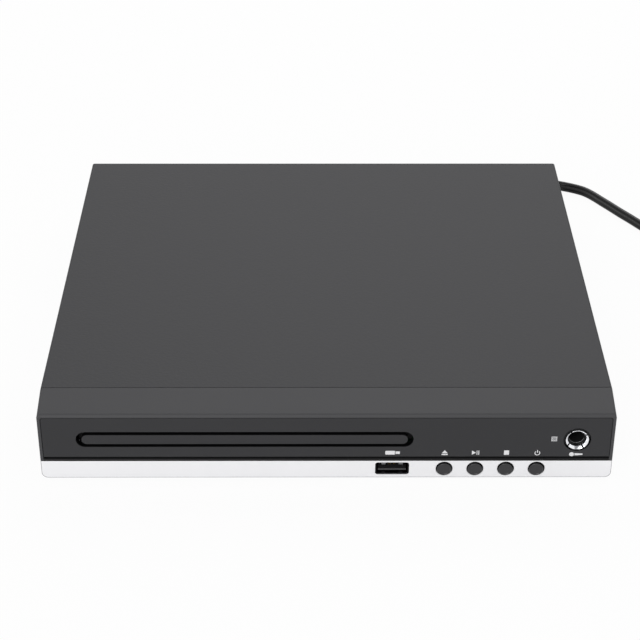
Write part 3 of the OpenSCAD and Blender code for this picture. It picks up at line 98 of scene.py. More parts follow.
# %% [markdown]
# ## Helpers for meshes
# Every piece is a mesh whose object stays at the origin, with its place in its vertices, as the CAD nodes
# are. Nearly every shape is a skin through rings of points, so one helper draws that, and others work out
# the rings: a sweep along a line of points makes the cord, and a turned profile makes what is round.

# %% Mesh helpers
def mesh_object(name, points, faces, smooth=True):
    """An object at the origin from points in metres and faces."""
    data = bpy.data.meshes.new(name)
    data.from_pydata([tuple(p) for p in points], [], faces)
    data.validate()
    work = bmesh.new()
    work.from_mesh(data)
    bmesh.ops.recalc_face_normals(work, faces=work.faces)
    work.to_mesh(data)
    work.free()
    for polygon in data.polygons:
        polygon.use_smooth = smooth
    return new_object(name, data)


def lofted(name, *skins, smooth=True, wrap=False):
    """An object of closed skins, each through rings of points, capped at its ends or wrapped round."""
    points, faces = [], []
    for rings in skins:
        first, count = len(points), len(rings[0])
        for i in range(len(rings) if wrap else len(rings) - 1):
            here, there = first + i * count, first + (i + 1) % len(rings) * count
            for k, after in zip(range(count), [*range(1, count), 0]):
                faces.append((here + k, here + after, there + after, there + k))
        points += [point for ring in rings for point in ring]
        if not wrap:
            faces += [tuple(range(first, first + count)), tuple(range(len(points) - count, len(points)))]
    return mesh_object(name, points, faces, smooth)


def blend(a, b, share):
    """The value at a share of the way from one number or vector to another."""
    return a + (b - a) * share


def sweep(name, path, profile):
    """A solid whose profile, in (sideways, upwards) metres, follows a path and stays upright."""
    rings = []
    for i, place in enumerate(path):
        along = (path[min(i + 1, len(path) - 1)] - path[max(i - 1, 0)]).normalized()
        side = along.cross(Vector((0, 0, 1))).normalized()
        above = side.cross(along)
        rings.append([place + side * u + above * v for u, v in profile])
    return lofted(name, rings)


def turned(name, profile, centre, sides=48, ring=False, span=(0, 360), bend=None):
    """A solid turned about a line along Y, from (radius, y) pairs.

    A ring's profile is a closed loop, and any other profile is closed with flat faces at its ends. A bend
    function may change each pair by the angle that it is drawn at.
    """
    whole = span[1] - span[0] == 360
    angles = [math.radians(blend(*span, stop / sides)) for stop in range(sides if whole else sides + 1)]

    def point(angle, pair):
        radius, y = bend(angle, *pair) if bend else pair
        return Vector((centre.x + radius * math.cos(angle), y, centre.z + radius * math.sin(angle)))

    if ring:
        return lofted(name, [[point(angle, pair) for pair in profile] for angle in angles], wrap=whole)
    return lofted(name, [[point(angle, pair) for angle in angles] for pair in profile])


def smooth_path(points, steps):
    """A Catmull-Rom curve through the points, so a few chosen places give a smooth line."""
    ends = [points[0] * 2 - points[1], *points, points[-1] * 2 - points[-2]]
    path = []
    for a, b, c, d in zip(ends, ends[1:], ends[2:], ends[3:]):
        for step in range(steps):
            t = step / steps
            path.append(0.5 * (
                2 * b + (c - a) * t + (2 * a - 5 * b + 4 * c - d) * t * t + (3 * b - a - 3 * c + d) * t ** 3
            ))
    return [*path, points[-1]]


print("mesh helpers ready")

# %% Fitting a piece
def fit(piece, slot, *replaced, finish=None, sharp=None):
    """Fixes a piece to the chassis, with its finish, in place of the CAD nodes that it replaces.

    If sharp is given, the shading breaks at edges that turn by more than that many degrees. The slot is not
    used.
    """
    if finish:
        piece.data.materials.append(finish.material)
    if sharp:
        piece.data.set_sharp_from_angle(angle=math.radians(sharp))
    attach(piece, "chassis")
    if replaced:
        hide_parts(*replaced)
    return piece


# %% [markdown]
# ## The mains cord
# The cord is a flat twin lead: two round cores joined by a thin web, which leaves a groove along both
# sides. It bends most easily about its thin axis, so on the table it stands on its edge. The free route
# repeats the CAD model's points, and the spare length is a round coil of three turns with three more on
# top, worked out by a loop. A sweep is used rather than a curve, because a round bevel can't give the
# groove.

# %% Cord
CORD_WIDTH = 5.2 * MM
CORE_RADIUS = 1.36 * MM
WEB_HALF = 0.9 * MM
CORD_REST = CORD_WIDTH / 2
CORD_ROUTE = [
    (98, 114.25, 12), (98.2, 120.25, 11.6), (99.6, 126.05, 10.5), (102.5, 131.3, 9), (106.6, 135.6, 7.3),
    (111.7, 138.8, 5.6), (117.4, 140.5, 4.1), (123.4, 140.5, 3), (129.1, 138.7, 2.6), (134.1, 135.4, 2.6),
    (137.9, 130.8, 2.6), (141.1, 125.7, 2.6), (145.1, 119.4, 2.6), (149, 113, 2.6), (153.1, 106.7, 2.6),
    (157.1, 100.3, 2.6), (161.1, 94, 2.6), (165.2, 87.7, 2.6), (169.3, 81.4, 2.6), (173.4, 75.2, 2.6),
]
COIL_CENTRE = Vector((206.4, 97)) * MM
COIL_RADII = [34.2 * MM, 29 * MM, 23.8 * MM]
STEPS_A_TURN, SHIFT_STEPS, TAIL_STEPS = 40, 14, 16
PLUG_FRONT = Vector((230.4, 57.5, 6.5)) * MM
CORD_IN_PLUG = 8 * MM


def twin_profile():
    """The outline of two cores and their web, upright, from the lower core round to the upper one."""
    offset = CORD_REST - CORE_RADIUS
    bite = math.degrees(math.asin(WEB_HALF / CORE_RADIUS))
    upper = [math.radians(a) for a in range(-90 + int(bite), 271 - int(bite), 20)]
    outline = [(CORE_RADIUS * math.cos(a), offset + CORE_RADIUS * math.sin(a)) for a in upper]
    return outline + [(-u, -v) for u, v in outline]


def eased(t):
    """Runs from 0 to 1 and starts and ends gently."""
    t = min(max(t, 0), 1)
    return t * t * (3 - 2 * t)


def coil_angle(point):
    """The direction in which a point lies from the coil's middle."""
    return math.atan2(point.y - COIL_CENTRE.y, point.x - COIL_CENTRE.x)


def round_coil(angle, radius, height):
    """A point at an angle and a distance from the coil's middle."""
    centre = COIL_CENTRE
    return Vector((centre.x + radius * math.cos(angle), centre.y + radius * math.sin(angle), height))


def coil_points(start):
    """Turns that run in towards the middle, climb once, and run out again on top."""
    radii = [(start.xy - COIL_CENTRE).length, *COIL_RADII, *reversed(COIL_RADII)]
    heights = [CORD_REST] * (len(COIL_RADII) + 1) + [CORD_REST + CORD_WIDTH] * len(COIL_RADII)
    points = []
    for turn in range(len(radii) - 1):
        for step in range(STEPS_A_TURN):
            share = eased(step / SHIFT_STEPS)
            angle = coil_angle(start) + math.tau * (turn + step / STEPS_A_TURN)
            radius, height = (blend(values[turn], values[turn + 1], share) for values in (radii, heights))
            points.append(round_coil(angle, radius, height))
    return points[1:]


def tail_points(last):
    """From the top turn down to the plug, which lies beside the coil."""
    begin, finish = coil_angle(last), math.radians(-90)
    if begin > finish:
        finish += math.tau
    points = []
    for step in range(1, TAIL_STEPS + 1):
        share = eased(step / TAIL_STEPS)
        radius = blend(COIL_RADII[0], COIL_CENTRE.y - PLUG_FRONT.y, share)
        angle = blend(begin, finish, step / TAIL_STEPS)
        points.append(round_coil(angle, radius, blend(last.z, PLUG_FRONT.z, share)))
    return [*points, Vector((COIL_CENTRE.x + CORD_IN_PLUG, PLUG_FRONT.y, PLUG_FRONT.z))]


free_route = smooth_path([Vector(p) * MM for p in CORD_ROUTE], 3)
coil_route = coil_points(free_route[-1])
cord_path = free_route + coil_route + tail_points(coil_route[-1])
cord = sweep("mains_cord", cord_path, twin_profile())

# %% [markdown]
# The moulded plug and the strain relief are soft parts too, so each gets a shape of its own: the plug is
# lofted through rounded sections with grip ridges, and the relief is turned from a profile whose rings thin
# out, which is how such a sleeve bends in a smooth arc.

# %% Plug
PLUG_LOW, PLUG_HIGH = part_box("plug_body")
PLUG_AXIS = middle("plug_body")
PLUG_HALF = (PLUG_HIGH - PLUG_LOW) / 2
# Share of the plug's length, of its half width and of its half height, and how square the section is
PLUG_SECTIONS = [
    (0.0, 0.3, 0.42, 2.0), (0.12, 0.32, 0.43, 2.0), (0.26, 0.37, 0.49, 2.0), (0.38, 0.43, 0.58, 2.1),
    (0.47, 0.5, 0.66, 2.4), (0.54, 0.66, 0.78, 2.8), (0.60, 0.84, 0.9, 3.2), (0.66, 0.95, 0.97, 3.6),
    (0.74, 0.99, 1.0, 4.0), (0.86, 0.99, 1.0, 4.4), (0.955, 0.99, 0.995, 4.4), (0.985, 0.97, 0.97, 4.2),
    (1.0, 0.92, 0.9, 4.0),
]
RIDGE_FIRST, RIDGE_LAST, RIDGE_COUNT = 0.66, 0.86, 5
RIDGE_DEPTH = 0.55 * MM
PLUG_RINGS, PLUG_SIDES = 90, 48


def section_at(share):
    """The section at a share of the plug's length, blended between the two chosen ones beside it."""
    for a, b in zip(PLUG_SECTIONS, PLUG_SECTIONS[1:]):
        if share <= b[0]:
            t = eased((share - a[0]) / (b[0] - a[0]))
            return [blend(p, q, t) for p, q in zip(a, b)]
    return PLUG_SECTIONS[-1]


def plug_ring(share):
    """A rounded square across the plug, narrower where a grip ridge is pressed into its sides."""
    _, wide, high, square = section_at(share)
    held = (share - RIDGE_FIRST) / (RIDGE_LAST - RIDGE_FIRST)
    groove = RIDGE_DEPTH * math.sin(math.pi * (held * RIDGE_COUNT % 1)) ** 2 if 0 < held < 1 else 0
    ring = []
    for side in range(PLUG_SIDES):
        u, v = math.cos(math.tau * side / PLUG_SIDES), math.sin(math.tau * side / PLUG_SIDES)
        reach = (abs(u) ** square + abs(v) ** square) ** (-1 / square)
        ring.append(Vector((
            blend(PLUG_LOW.x, PLUG_HIGH.x, share),
            PLUG_AXIS.y + u * reach * (PLUG_HALF.y * wide - groove * u * u),
            PLUG_AXIS.z + v * reach * PLUG_HALF.z * high,
        )))
    return ring


plug = lofted("moulded_plug", [plug_ring(ring / PLUG_RINGS) for ring in range(PLUG_RINGS + 1)])
fit(plug, "cord_plastic", "plug_body")
print("plug is", round((PLUG_HIGH.x - PLUG_LOW.x) / MM, 1), "mm long with its tail")

# %% Strain relief
PANEL_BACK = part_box("rear_panel")[1].y
RELIEF_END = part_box("strain_relief")[1].y
EXIT = Vector(CORD_ROUTE[0]) * MM


def relief_profile():
    """A flange against the panel, then a taper with shallow rings, down to the cord."""
    flange, root, tip = 5.4 * MM, 4.6 * MM, 3.0 * MM
    start = PANEL_BACK + 0.1 * MM
    profile = [(flange - 0.5 * MM, start), (flange, start + 0.4 * MM), (flange, start + 1.7 * MM),
               (flange - 0.4 * MM, start + 2.1 * MM)]
    rings, steps = 6, 6
    for i in range(rings * steps + 1):
        share = i / (rings * steps)
        groove = 0.42 * MM * math.sin(math.pi * (share * rings % 1)) ** 2
        back = blend(start + 2.3 * MM, RELIEF_END - 0.3 * MM, share)
        profile.append((blend(root, tip, share) - groove, back))
    return [*profile, (tip - 0.3 * MM, RELIEF_END)]


relief = fit(turned("ribbed_strain_relief", relief_profile(), EXIT, 40), "cord_plastic", "strain_relief")
print("strain relief stands out", round((RELIEF_END - PANEL_BACK) / MM, 1), "mm")

fit(cord, "cord_plastic", "power_cord", "cord_coil")
print("the cord is declared", round(CORD_WIDTH / MM, 1), "mm wide")

# %% [markdown]
# ## The studio
# The player stands on a white table under two large soft lamps, with white all round. The floor and the
# world look plain white to the camera and in reflections, through the Light Path node, but light the
# player at a plain level. So a colour renders about as it is written, and a faint shadow stays.

# %% Node helpers
def add_node(tree, kind, inputs=(), **settings):
    """Adds a node to a tree, sets its properties, and gives its inputs values or links.

    A list gives the inputs in order, and a dictionary by name or number. A node stands for its first output.
    """
    node = tree.nodes.new(kind)
    for key, value in settings.items():
        setattr(node, key, value)
    for key, value in (inputs if isinstance(inputs, dict) else dict(enumerate(inputs))).items():
        source = value.outputs[0] if isinstance(value, bpy.types.Node) else value
        if isinstance(source, bpy.types.NodeSocket):
            tree.links.new(source, node.inputs[key])
        else:
            node.inputs[key].default_value = source
    return node


def emptied_tree(owner):
    """The node tree of a world or a material, with nothing in it."""
    owner.use_nodes = True
    owner.node_tree.nodes.clear()
    return owner.node_tree


print("node helpers ready")

# %% World, floor and lamps
AMBIENT = 0.45
FLOOR_HALF = 3.0
FLOOR_DROP = 0.05 * MM
WHITE = (1, 1, 1, 1)
WHITE_SHARE = 0.95
# A lamp's watts for a level of 1, from a metre away
FULL_LIGHT = math.pi ** 2


def seen_directly(tree):
    """1 for camera, glossy and transmission rays, and 0 for the rays that light things."""
    path = add_node(tree, "ShaderNodeLightPath").outputs
    seen = path["Is Camera Ray"]
    for kind in ("Is Glossy Ray", "Is Transmission Ray"):
        seen = add_node(tree, "ShaderNodeMath", [seen, path[kind]], operation="MAXIMUM")
    return seen


def make_world():
    """White where it is seen, and a soft even light where it isn't."""
    world = bpy.data.worlds.new("white_studio")
    tree = emptied_tree(world)
    light, seen = [add_node(tree, "ShaderNodeBackground", [WHITE, level]) for level in (AMBIENT, 1.0)]
    mixed = add_node(tree, "ShaderNodeMixShader", [seen_directly(tree), light, seen])
    add_node(tree, "ShaderNodeOutputWorld", {"Surface": mixed})
    bpy.context.scene.world = world


def make_floor():
    """A white table top. It glows white to the camera, apart from the share that still takes shadows."""
    half = FLOOR_HALF
    corners = [(x, y, -FLOOR_DROP) for x, y in ((-half, -half), (half, -half), (half, half), (-half, half))]
    table = mesh_object("table_top", corners, [(0, 1, 2, 3)], False)
    paper = bpy.data.materials.new("white_table")
    tree = emptied_tree(paper)
    matt = add_node(tree, "ShaderNodeBsdfDiffuse", {"Color": (0.9, 0.9, 0.9, 1)})
    glow = add_node(tree, "ShaderNodeEmission", [WHITE, 1.0])
    share = add_node(tree, "ShaderNodeMath", [seen_directly(tree), WHITE_SHARE], operation="MULTIPLY")
    mixed = add_node(tree, "ShaderNodeMixShader", [share, matt, glow])
    add_node(tree, "ShaderNodeOutputMaterial", {"Surface": mixed})
    table.data.materials.append(paper)


def make_lamp(name, place, size, level):
    """A square soft lamp that gives the player this share of full light, from where it hangs."""
    data = bpy.data.lights.new(name, "AREA")
    data.shape, data.size = "SQUARE", size
    aim = Vector((0, 0, 0.02)) - Vector(place)
    data.energy = FULL_LIGHT * level * aim.length_squared
    lamp = new_object(name, data)
    lamp.location = place
    lamp.rotation_euler = aim.to_track_quat("-Z", "Y").to_euler()


make_world()
make_floor()
make_lamp("softbox_above", (0.12, 0.9, 0.95), 1.0, 0.4)
make_lamp("softbox_in_front", (-0.35, -1.5, 0.75), 1.1, 0.45)
bpy.context.scene.view_settings.view_transform = "Standard"
print("studio is ready, with", len(bpy.data.lights), "lamps")

# %% [markdown]
# ## Finishes
# A finish starts from what the real material is and how its surface was made. Most of this player is one of
# four kinds: moulded plastic with a spark-eroded grain, coated sheet steel with a slight orange peel, bare
# metal marked by rolling or drawing, and soft rubber or vinyl. So each kind is one function whose numbers
# are real sizes in millimetres, and a finish that shows something more gets extra nodes of its own.
# Colours are written as they look on a screen, and one function turns them to the linear values that
# shaders use.

# %% Finish helpers
Finish = namedtuple("Finish", "material tree shader place")


def linear(code):
    """An sRGB hex colour as linear values with an alpha of 1."""
    parts = [int(code[i:i + 2], 16) / 255 for i in (1, 3, 5)]
    return (*(p / 12.92 if p <= 0.04045 else ((p + 0.055) / 1.055) ** 2.4 for p in parts), 1)


def shades(code, *factors):
    """A hex colour made darker or lighter by each factor."""
    parts = [int(code[i:i + 2], 16) for i in (1, 3, 5)]
    return ["#" + "".join(f"{min(255, round(part * factor)):02x}" for part in parts) for factor in factors]


def new_finish(name, colour, **settings):
    """A material with its tree, shader and place on the object, and with plain values set on the shader."""
    material = bpy.data.materials.new(name)
    tree = emptied_tree(material)
    values = {key.replace("_", " "): value for key, value in settings.items()}
    shader = add_node(tree, "ShaderNodeBsdfPrincipled", {"Base Color": linear(colour), **values})
    add_node(tree, "ShaderNodeOutputMaterial", {"Surface": shader})
    return Finish(material, tree, shader, add_node(tree, "ShaderNodeTexCoord").outputs["Object"])


def feed(finish, name, source):
    """Links a socket to one of the shader's inputs."""
    finish.tree.links.new(source, finish.shader.inputs[name])


def vary(finish, pattern, low, high, rough_low, rough_high):
    """Lets a 0-to-1 pattern run the colour between two hex values, and the roughness between two numbers."""
    tint = add_node(
        finish.tree, "ShaderNodeMix", {0: pattern, 6: linear(low), 7: linear(high)}, data_type="RGBA",
    )
    feed(finish, "Base Color", tint.outputs[2])
    limits = {"Value": pattern, "To Min": rough_low, "To Max": rough_high}
    feed(finish, "Roughness", add_node(finish.tree, "ShaderNodeMapRange", limits).outputs[0])


def cover_up(finish, where, colour):
    """Puts a hex colour over the finish's own colour where a pattern is 1."""
    own = finish.shader.inputs["Base Color"].links[0].from_socket
    both = add_node(finish.tree, "ShaderNodeMix", {0: where, 6: own, 7: linear(colour)}, data_type="RGBA")
    feed(finish, "Base Color", both.outputs[2])


def within(finish, **sides):
    """1 inside a box, from its (low, high) limits along X, Y and Z in metres. None leaves a side open."""
    at = add_node(finish.tree, "ShaderNodeSeparateXYZ", [finish.place]).outputs
    inside = 1.0
    for axis, limits in sides.items():
        for limit, test in zip(limits, ("GREATER_THAN", "LESS_THAN")):
            if limit is not None:
                passed = add_node(finish.tree, "ShaderNodeMath", [at[axis], limit], operation=test)
                inside = add_node(finish.tree, "ShaderNodeMath", [inside, passed], operation="MULTIPLY")
    return inside


def round_edges(finish, radius):
    """Bends the light at sharp edges, as the small rounding that every moulded or bent edge has."""
    soft = add_node(finish.tree, "ShaderNodeBevel", {"Radius": radius * MM}, samples=6)
    bump = finish.shader.inputs["Normal"].links[0].from_node
    finish.tree.links.new(soft.outputs[0], bump.inputs["Normal"])


def textured(finish, tone, skin, depth, colours, roughness, swing):
    """Lets one pattern change a finish's colour and roughness, and another raise its surface by millimetres.

    A pattern is a node or a socket, or the size in millimetres and the detail of a noise.
    """
    tone, skin = (
        add_node(finish.tree, "ShaderNodeTexNoise", {
            "Vector": finish.place, "Scale": 1 / (pattern[0] * MM), "Detail": pattern[1],
        }) if isinstance(pattern, tuple) else pattern
        for pattern in (tone, skin)
    )
    vary(finish, tone, *colours, roughness - swing, roughness + swing)
    bump = add_node(finish.tree, "ShaderNodeBump", {"Height": skin, "Distance": depth * MM})
    feed(finish, "Normal", bump.outputs[0])
    return finish


def moulded_plastic(name, colour, roughness, grain=0.35, depth=0.02, specular=0.5, patch=24, change=0.03):
    """Plastic from a spark-eroded mould: an even fine grain, and broad faint changes where it cooled."""
    finish = new_finish(name, colour, Specular_IOR_Level=specular)
    tones = shades(colour, 1 - change, 1 + change)
    return textured(finish, (patch, 3), (grain, 2), depth, tones, roughness, 0.05)


def coated_steel(name, colour, roughness, peel=1.1, depth=0.05, specular=0.4, fleck=0.06):
    """Sheet steel under baked paint: a slight orange peel, with fine flecks from the powder's grains."""
    finish = new_finish(name, colour, Specular_IOR_Level=specular)
    cells = add_node(
        finish.tree, "ShaderNodeTexVoronoi",
        {"Vector": finish.place, "Scale": 1 / (peel * MM), "Smoothness": 1.0}, feature="SMOOTH_F1",
    )
    tones = shades(colour, 1 - fleck, 1 + fleck)
    return textured(finish, (0.5 * peel, 4), cells, depth, tones, roughness, 0.08)


def bare_metal(name, colour, roughness, line=0.4, run=(1, 1, 1), depth=0.006, change=0.05):
    """Metal as it left the rolls, die or grinder, with fine marks that a small number in run makes long."""
    finish = new_finish(name, colour, Metallic=1.0)
    along = add_node(finish.tree, "ShaderNodeMapping", {"Vector": finish.place, "Scale": run})
    marks = (line, 4)
    marked = finish._replace(place=along.outputs[0])
    textured(marked, marks, marks, depth, shades(colour, 1 - change, 1 + change), roughness, 0.07)
    return finish


def soft_rubber(name, colour, roughness, grain=0.6, depth=0.03, specular=0.35):
    """Rubber or soft vinyl: dull, with a faint bloom in patches and a slightly uneven skin."""
    finish = new_finish(name, colour, Specular_IOR_Level=specular)
    return textured(finish, (7, 5), (grain, 2), depth, shades(colour, 0.85, 1.2), roughness, 0.06)


def dress(finish, *names):
    """Gives a finish to CAD nodes, by name, through their material slots."""
    for name in names:
        data = NODES[name].data
        if not data.materials:
            data.materials.append(finish.material)
        for k in range(len(data.materials)):
            data.materials[k] = finish.material


print("finish helpers ready")

# %% [markdown]
# ## The case
# The lid is sheet steel with a baked powder coat, and the front is moulded ABS in three tones: the sloped
# bezel, a slightly darker face let into it, and an off-white strip along the bottom. The lid, the bezel and
# the face have nearly the same colour, so what tells them apart is gloss and grain: the coat is dull with
# flecks, the bezel has a fine grain, and the face is smoother.

# %% Case finishes
# Powder-coated sheet steel: dull, with tiny flecks. The flecks are drawn a little coarser than real ones.
lid_coat = coated_steel("powder_coated_steel", "#38383a", 0.6, specular=0.2)
round_edges(lid_coat, 0.4)
dress(lid_coat, "top_cover")
# Baked black paint on the back: thinner and a little glossier than the powder coat.
dress(coated_steel("baked_black_paint", "#222324", 0.5, peel=0.8, depth=0.03), "rear_panel")
# ABS from a spark-eroded mould: even and dull. The pocket that holds the face and the strip is painted near
# black, which is painted shade in the groove between them.
FACE_LOW, FACE_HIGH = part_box("face_plate")
bezel_abs = moulded_plastic("spark_grained_abs", "#3f3f41", 0.55, specular=0.3)
round_edges(bezel_abs, 0.25)
groove_shade_mask = within(
    bezel_abs, X=(-FACE_HIGH.x, FACE_HIGH.x), Y=(FACE_LOW.y + 0.1 * MM, None), Z=(None, FACE_HIGH.z),
)
cover_up(bezel_abs, groove_shade_mask, "#252526")
dress(bezel_abs, "front_bezel")
# Electro-galvanised sheet: pale grey, with the faint lines that rolling leaves.
zinc_sheet = bare_metal("galvanised_sheet", "#b4b6b8", 0.4, line=0.5, run=(1, 0.05, 1))
dress(zinc_sheet, "base_pan", "clamp_bridge", "traverse_deck", "inner_screws")
# Moulded rubber: nearly black and dull, on what grips or drives.
dress(soft_rubber("moulded_rubber", "#1a1a1a", 0.75), "feet", "drive_belt", "deck_grommets", "turntable_pad")
# Steel blackened in hot oxide: dark, with a dull sheen on its edges.
black_screw = bare_metal("blackened_screw_steel", "#2a2a2c", 0.42, line=0.3)
dress(black_screw, "cover_screws")
print("case finishes ready")

# %% Sprayed mouldings
# The face, the tray's door, the keys and the pale strip are made as black ABS with satin paint sprayed on.
# Most are sprayed on their fronts only. The strip is also sprayed on its foot and its ends, and masked just
# short of the groove above it. The paint is taken to reach a third of a millimetre round the edges. Past it
# the near black is bare plastic and also painted shade: it darkens the gaps beside the door and the keys,
# the keys' sides, and the strip's top edge under the groove.
SPRAY_DEPTH = 0.35 * MM
MASKED_SHADE_BAND = 0.12 * MM


def shaded_bare_inside(finish, node, all_round):
    """1 where a point lies deeper than the paint, below the front or below the front, foot and ends, or in
    the masked band at the top. The near black there is bare plastic and painted shade.
    """
    low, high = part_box(node)
    front = (low.y + SPRAY_DEPTH, None)
    if not all_round:
        return within(finish, Y=front)
    ends = (low.x + SPRAY_DEPTH, high.x - SPRAY_DEPTH)
    core = within(finish, X=ends, Y=front, Z=(low.z + SPRAY_DEPTH, None))
    top = within(finish, Z=(high.z - MASKED_SHADE_BAND, None))
    return add_node(finish.tree, "ShaderNodeMath", [core, top], operation="MAXIMUM")


def sprayed_abs(name, paint, nodes, edge, all_round=False, roughness=0.45, change=0.03, specular=0.25):
    """Satin paint on the outside of black mouldings, with edges rounded by this many millimetres. Past the
    paint is a near black that is bare plastic and painted shade in the gaps.
    """
    finish = moulded_plastic(name, paint, roughness, grain=0.3, depth=0.012, specular=specular, change=change)
    # Near black where the paint ends: bare plastic, and painted shade in the gaps and holes.
    cover_up(finish, shaded_bare_inside(finish, nodes[0], all_round), "#070708")
    round_edges(finish, edge)
    dress(finish, *nodes)
    return finish


def painted_edge_shade(finish, node, corner, reach, colour):
    """Colours a thin line along the foot, the ends and the lower corners of a node's front.

    It is painted shade along the lower edge, which is a guess.
    """
    low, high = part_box(node)
    tree, half, foot = finish.tree, (high.x - low.x) / 2 - corner, low.z + corner
    at = add_node(tree, "ShaderNodeSeparateXYZ", [finish.place]).outputs
    wide = add_node(tree, "ShaderNodeMath", [at["X"], middle(node).x], operation="SUBTRACT")
    wide = add_node(tree, "ShaderNodeMath", [wide], operation="ABSOLUTE")
    beside = add_node(tree, "ShaderNodeMath", [wide, half], operation="SUBTRACT")
    below = add_node(tree, "ShaderNodeMath", [foot, at["Z"]], operation="SUBTRACT")
    past = add_node(tree, "ShaderNodeCombineXYZ", [beside, below])
    past = add_node(tree, "ShaderNodeVectorMath", [past, (0, 0, 0)], operation="MAXIMUM")
    past = add_node(tree, "ShaderNodeVectorMath", [past], operation="LENGTH").outputs["Value"]
    line = add_node(tree, "ShaderNodeMath", [past, corner - reach], operation="GREATER_THAN")
    front = within(finish, Y=(None, low.y + reach))
    cover_up(finish, add_node(tree, "ShaderNodeMath", [line, front], operation="MULTIPLY"), colour)


sprayed_abs("sprayed_face_abs", "#2e2e30", ["face_plate"], 0.2)
sprayed_abs("sprayed_door_abs", "#2e2e30", ["tray_door"], 0.2)
# The keys are taken to come from a smoother mould, so they shine more.
KEYS = ["button_eject", "button_play", "button_stop", "button_power"]
sprayed_abs("polished_key_abs", "#2e2e30", KEYS, 0.1, roughness=0.22, specular=0.35)
# The pale paint looks clean, with hardly any change of tone.
strip_paint = sprayed_abs(
    "sprayed_pale_abs", "#f6f6f8", ["lower_strip"], 0.3, all_round=True, roughness=0.35, change=0.008,
    specular=0.15,
)
# A grey line along the strip's foot, ends and lower corners: painted shade.
painted_edge_shade(strip_paint, "lower_strip", 2.5 * MM, 0.2 * MM, "#a0a0a3")
print("paint ends", round(SPRAY_DEPTH / MM, 2), "mm below the skin")

# %% [markdown]
# ## The loading mechanism
# The tray and the loader frame are black ABS straight from the mould. The gears, the cam slider and the
# clamper are acetal, a slippery milky plastic that lets a little light in, so it gets some scattering below
# its surface.

# %% Mechanism finishes
# Black ABS from a coarse mould: it hides scratches, and the disc's well looks even.
dress(moulded_plastic("matt_tray_abs", "#1f1f20", 0.6, grain=0.5, depth=0.03), "disc_tray")
# Glass-filled ABS: slightly rougher, with uneven patches where the fibres flowed.
dress(moulded_plastic("glass_filled_abs", "#1c1c1d", 0.66, grain=0.6, depth=0.05, patch=12, change=0.12),
      "loader_frame", "turntable")
# Natural acetal: milky and slightly waxy.
acetal = moulded_plastic("natural_acetal", "#d8d4c6", 0.38, depth=0.006, change=0.02)
for name, value in (("Weight", 0.25), ("Radius", (1.0, 0.9, 0.7)), ("Scale", 1.2 * MM)):
    acetal.shader.inputs["Subsurface " + name].default_value = value
dress(acetal, "tray_gear", "pulley_gear", "motor_pulley", "clamper", "cam_slider", "sled_gear")
# Deep-drawn steel: bright, with fine upright lines where the die rubbed it.
dress(bare_metal("drawn_steel", "#b2b4b6", 0.28, line=0.3, run=(1, 1, 0.05)),
      "loader_motor", "spindle_motor", "sled_motor", "hdmi_shell")
# Black nickel colour on the front socket's shell: painted shade, so its opening looks black, with a faint
# sheen.
shaded_dark_nickel = bare_metal("dark_nickel_painted_shade", "#2b2b2d", 0.3, line=0.3, depth=0.002)
dress(shaded_dark_nickel, "usb_shell")
# Sintered ferrite: charcoal, with a fine grain of pressed powder.
dress(moulded_plastic("sintered_ferrite", "#3a3a3b", 0.55, grain=0.3, depth=0.03, change=0.1), "clamp_magnet")
# Ground and polished steel rods: almost a mirror along their length.
dress(bare_metal("ground_steel", "#c9cacc", 0.12, line=0.2, run=(1, 0.02, 1), depth=0.001), "guide_rods")
# Zinc die casting: mid grey, with a mottled skin from the die's coating.
dress(bare_metal("die_cast_zinc", "#8e9092", 0.5, line=1.2, depth=0.03, change=0.12), "pickup_sled")
# Turned brass: warm yellow, with fine upright lines where its teeth were cut.
dress(bare_metal("turned_brass", "#c9a75a", 0.25, line=0.25, run=(1, 1, 0.2)), "sled_pinion")
# Nickel plate on the blades and the phono sleeves: bright, and slightly warm.
dress(bare_metal("bright_nickel_plate", "#cfcdc8", 0.16, line=0.3, depth=0.002, change=0.03),
      "av_sleeves", "plug_blades")
# Chrome over polished brass on the jack's nut: cooler than nickel, and almost a mirror. Its lowest part is
# made dull, as if plugs pushed in from above had rubbed it, which is a guess. Its lowest part is painted
# darker grey, which is a painted reflection of dark surroundings.
chrome = bare_metal("bright_chrome_plate", "#f0f1f4", 0.2, line=0.3, depth=0.001, change=0.02)
NUT_CENTRE = middle("jack_nut")
centred = add_node(chrome.tree, "ShaderNodeVectorMath", [chrome.place, NUT_CENTRE], operation="SUBTRACT")
across = add_node(chrome.tree, "ShaderNodeSeparateXYZ", [centred]).outputs["X"]
aside = add_node(chrome.tree, "ShaderNodeMath", [across], operation="ABSOLUTE")
dark_reflection_fade = add_node(chrome.tree, "ShaderNodeMapRange", {
    "Value": aside, "From Min": 0.5 * MM, "From Max": 1.1 * MM, "To Min": 1.0, "To Max": 0.0,
})
below = within(chrome, Z=(None, NUT_CENTRE.z))
painted_dark_reflection = add_node(chrome.tree, "ShaderNodeMath", [dark_reflection_fade, below], operation="MULTIPLY")
cover_up(chrome, painted_dark_reflection, "#8b8c8f")
dress(chrome, "jack_nut")
print("mechanism finishes ready")

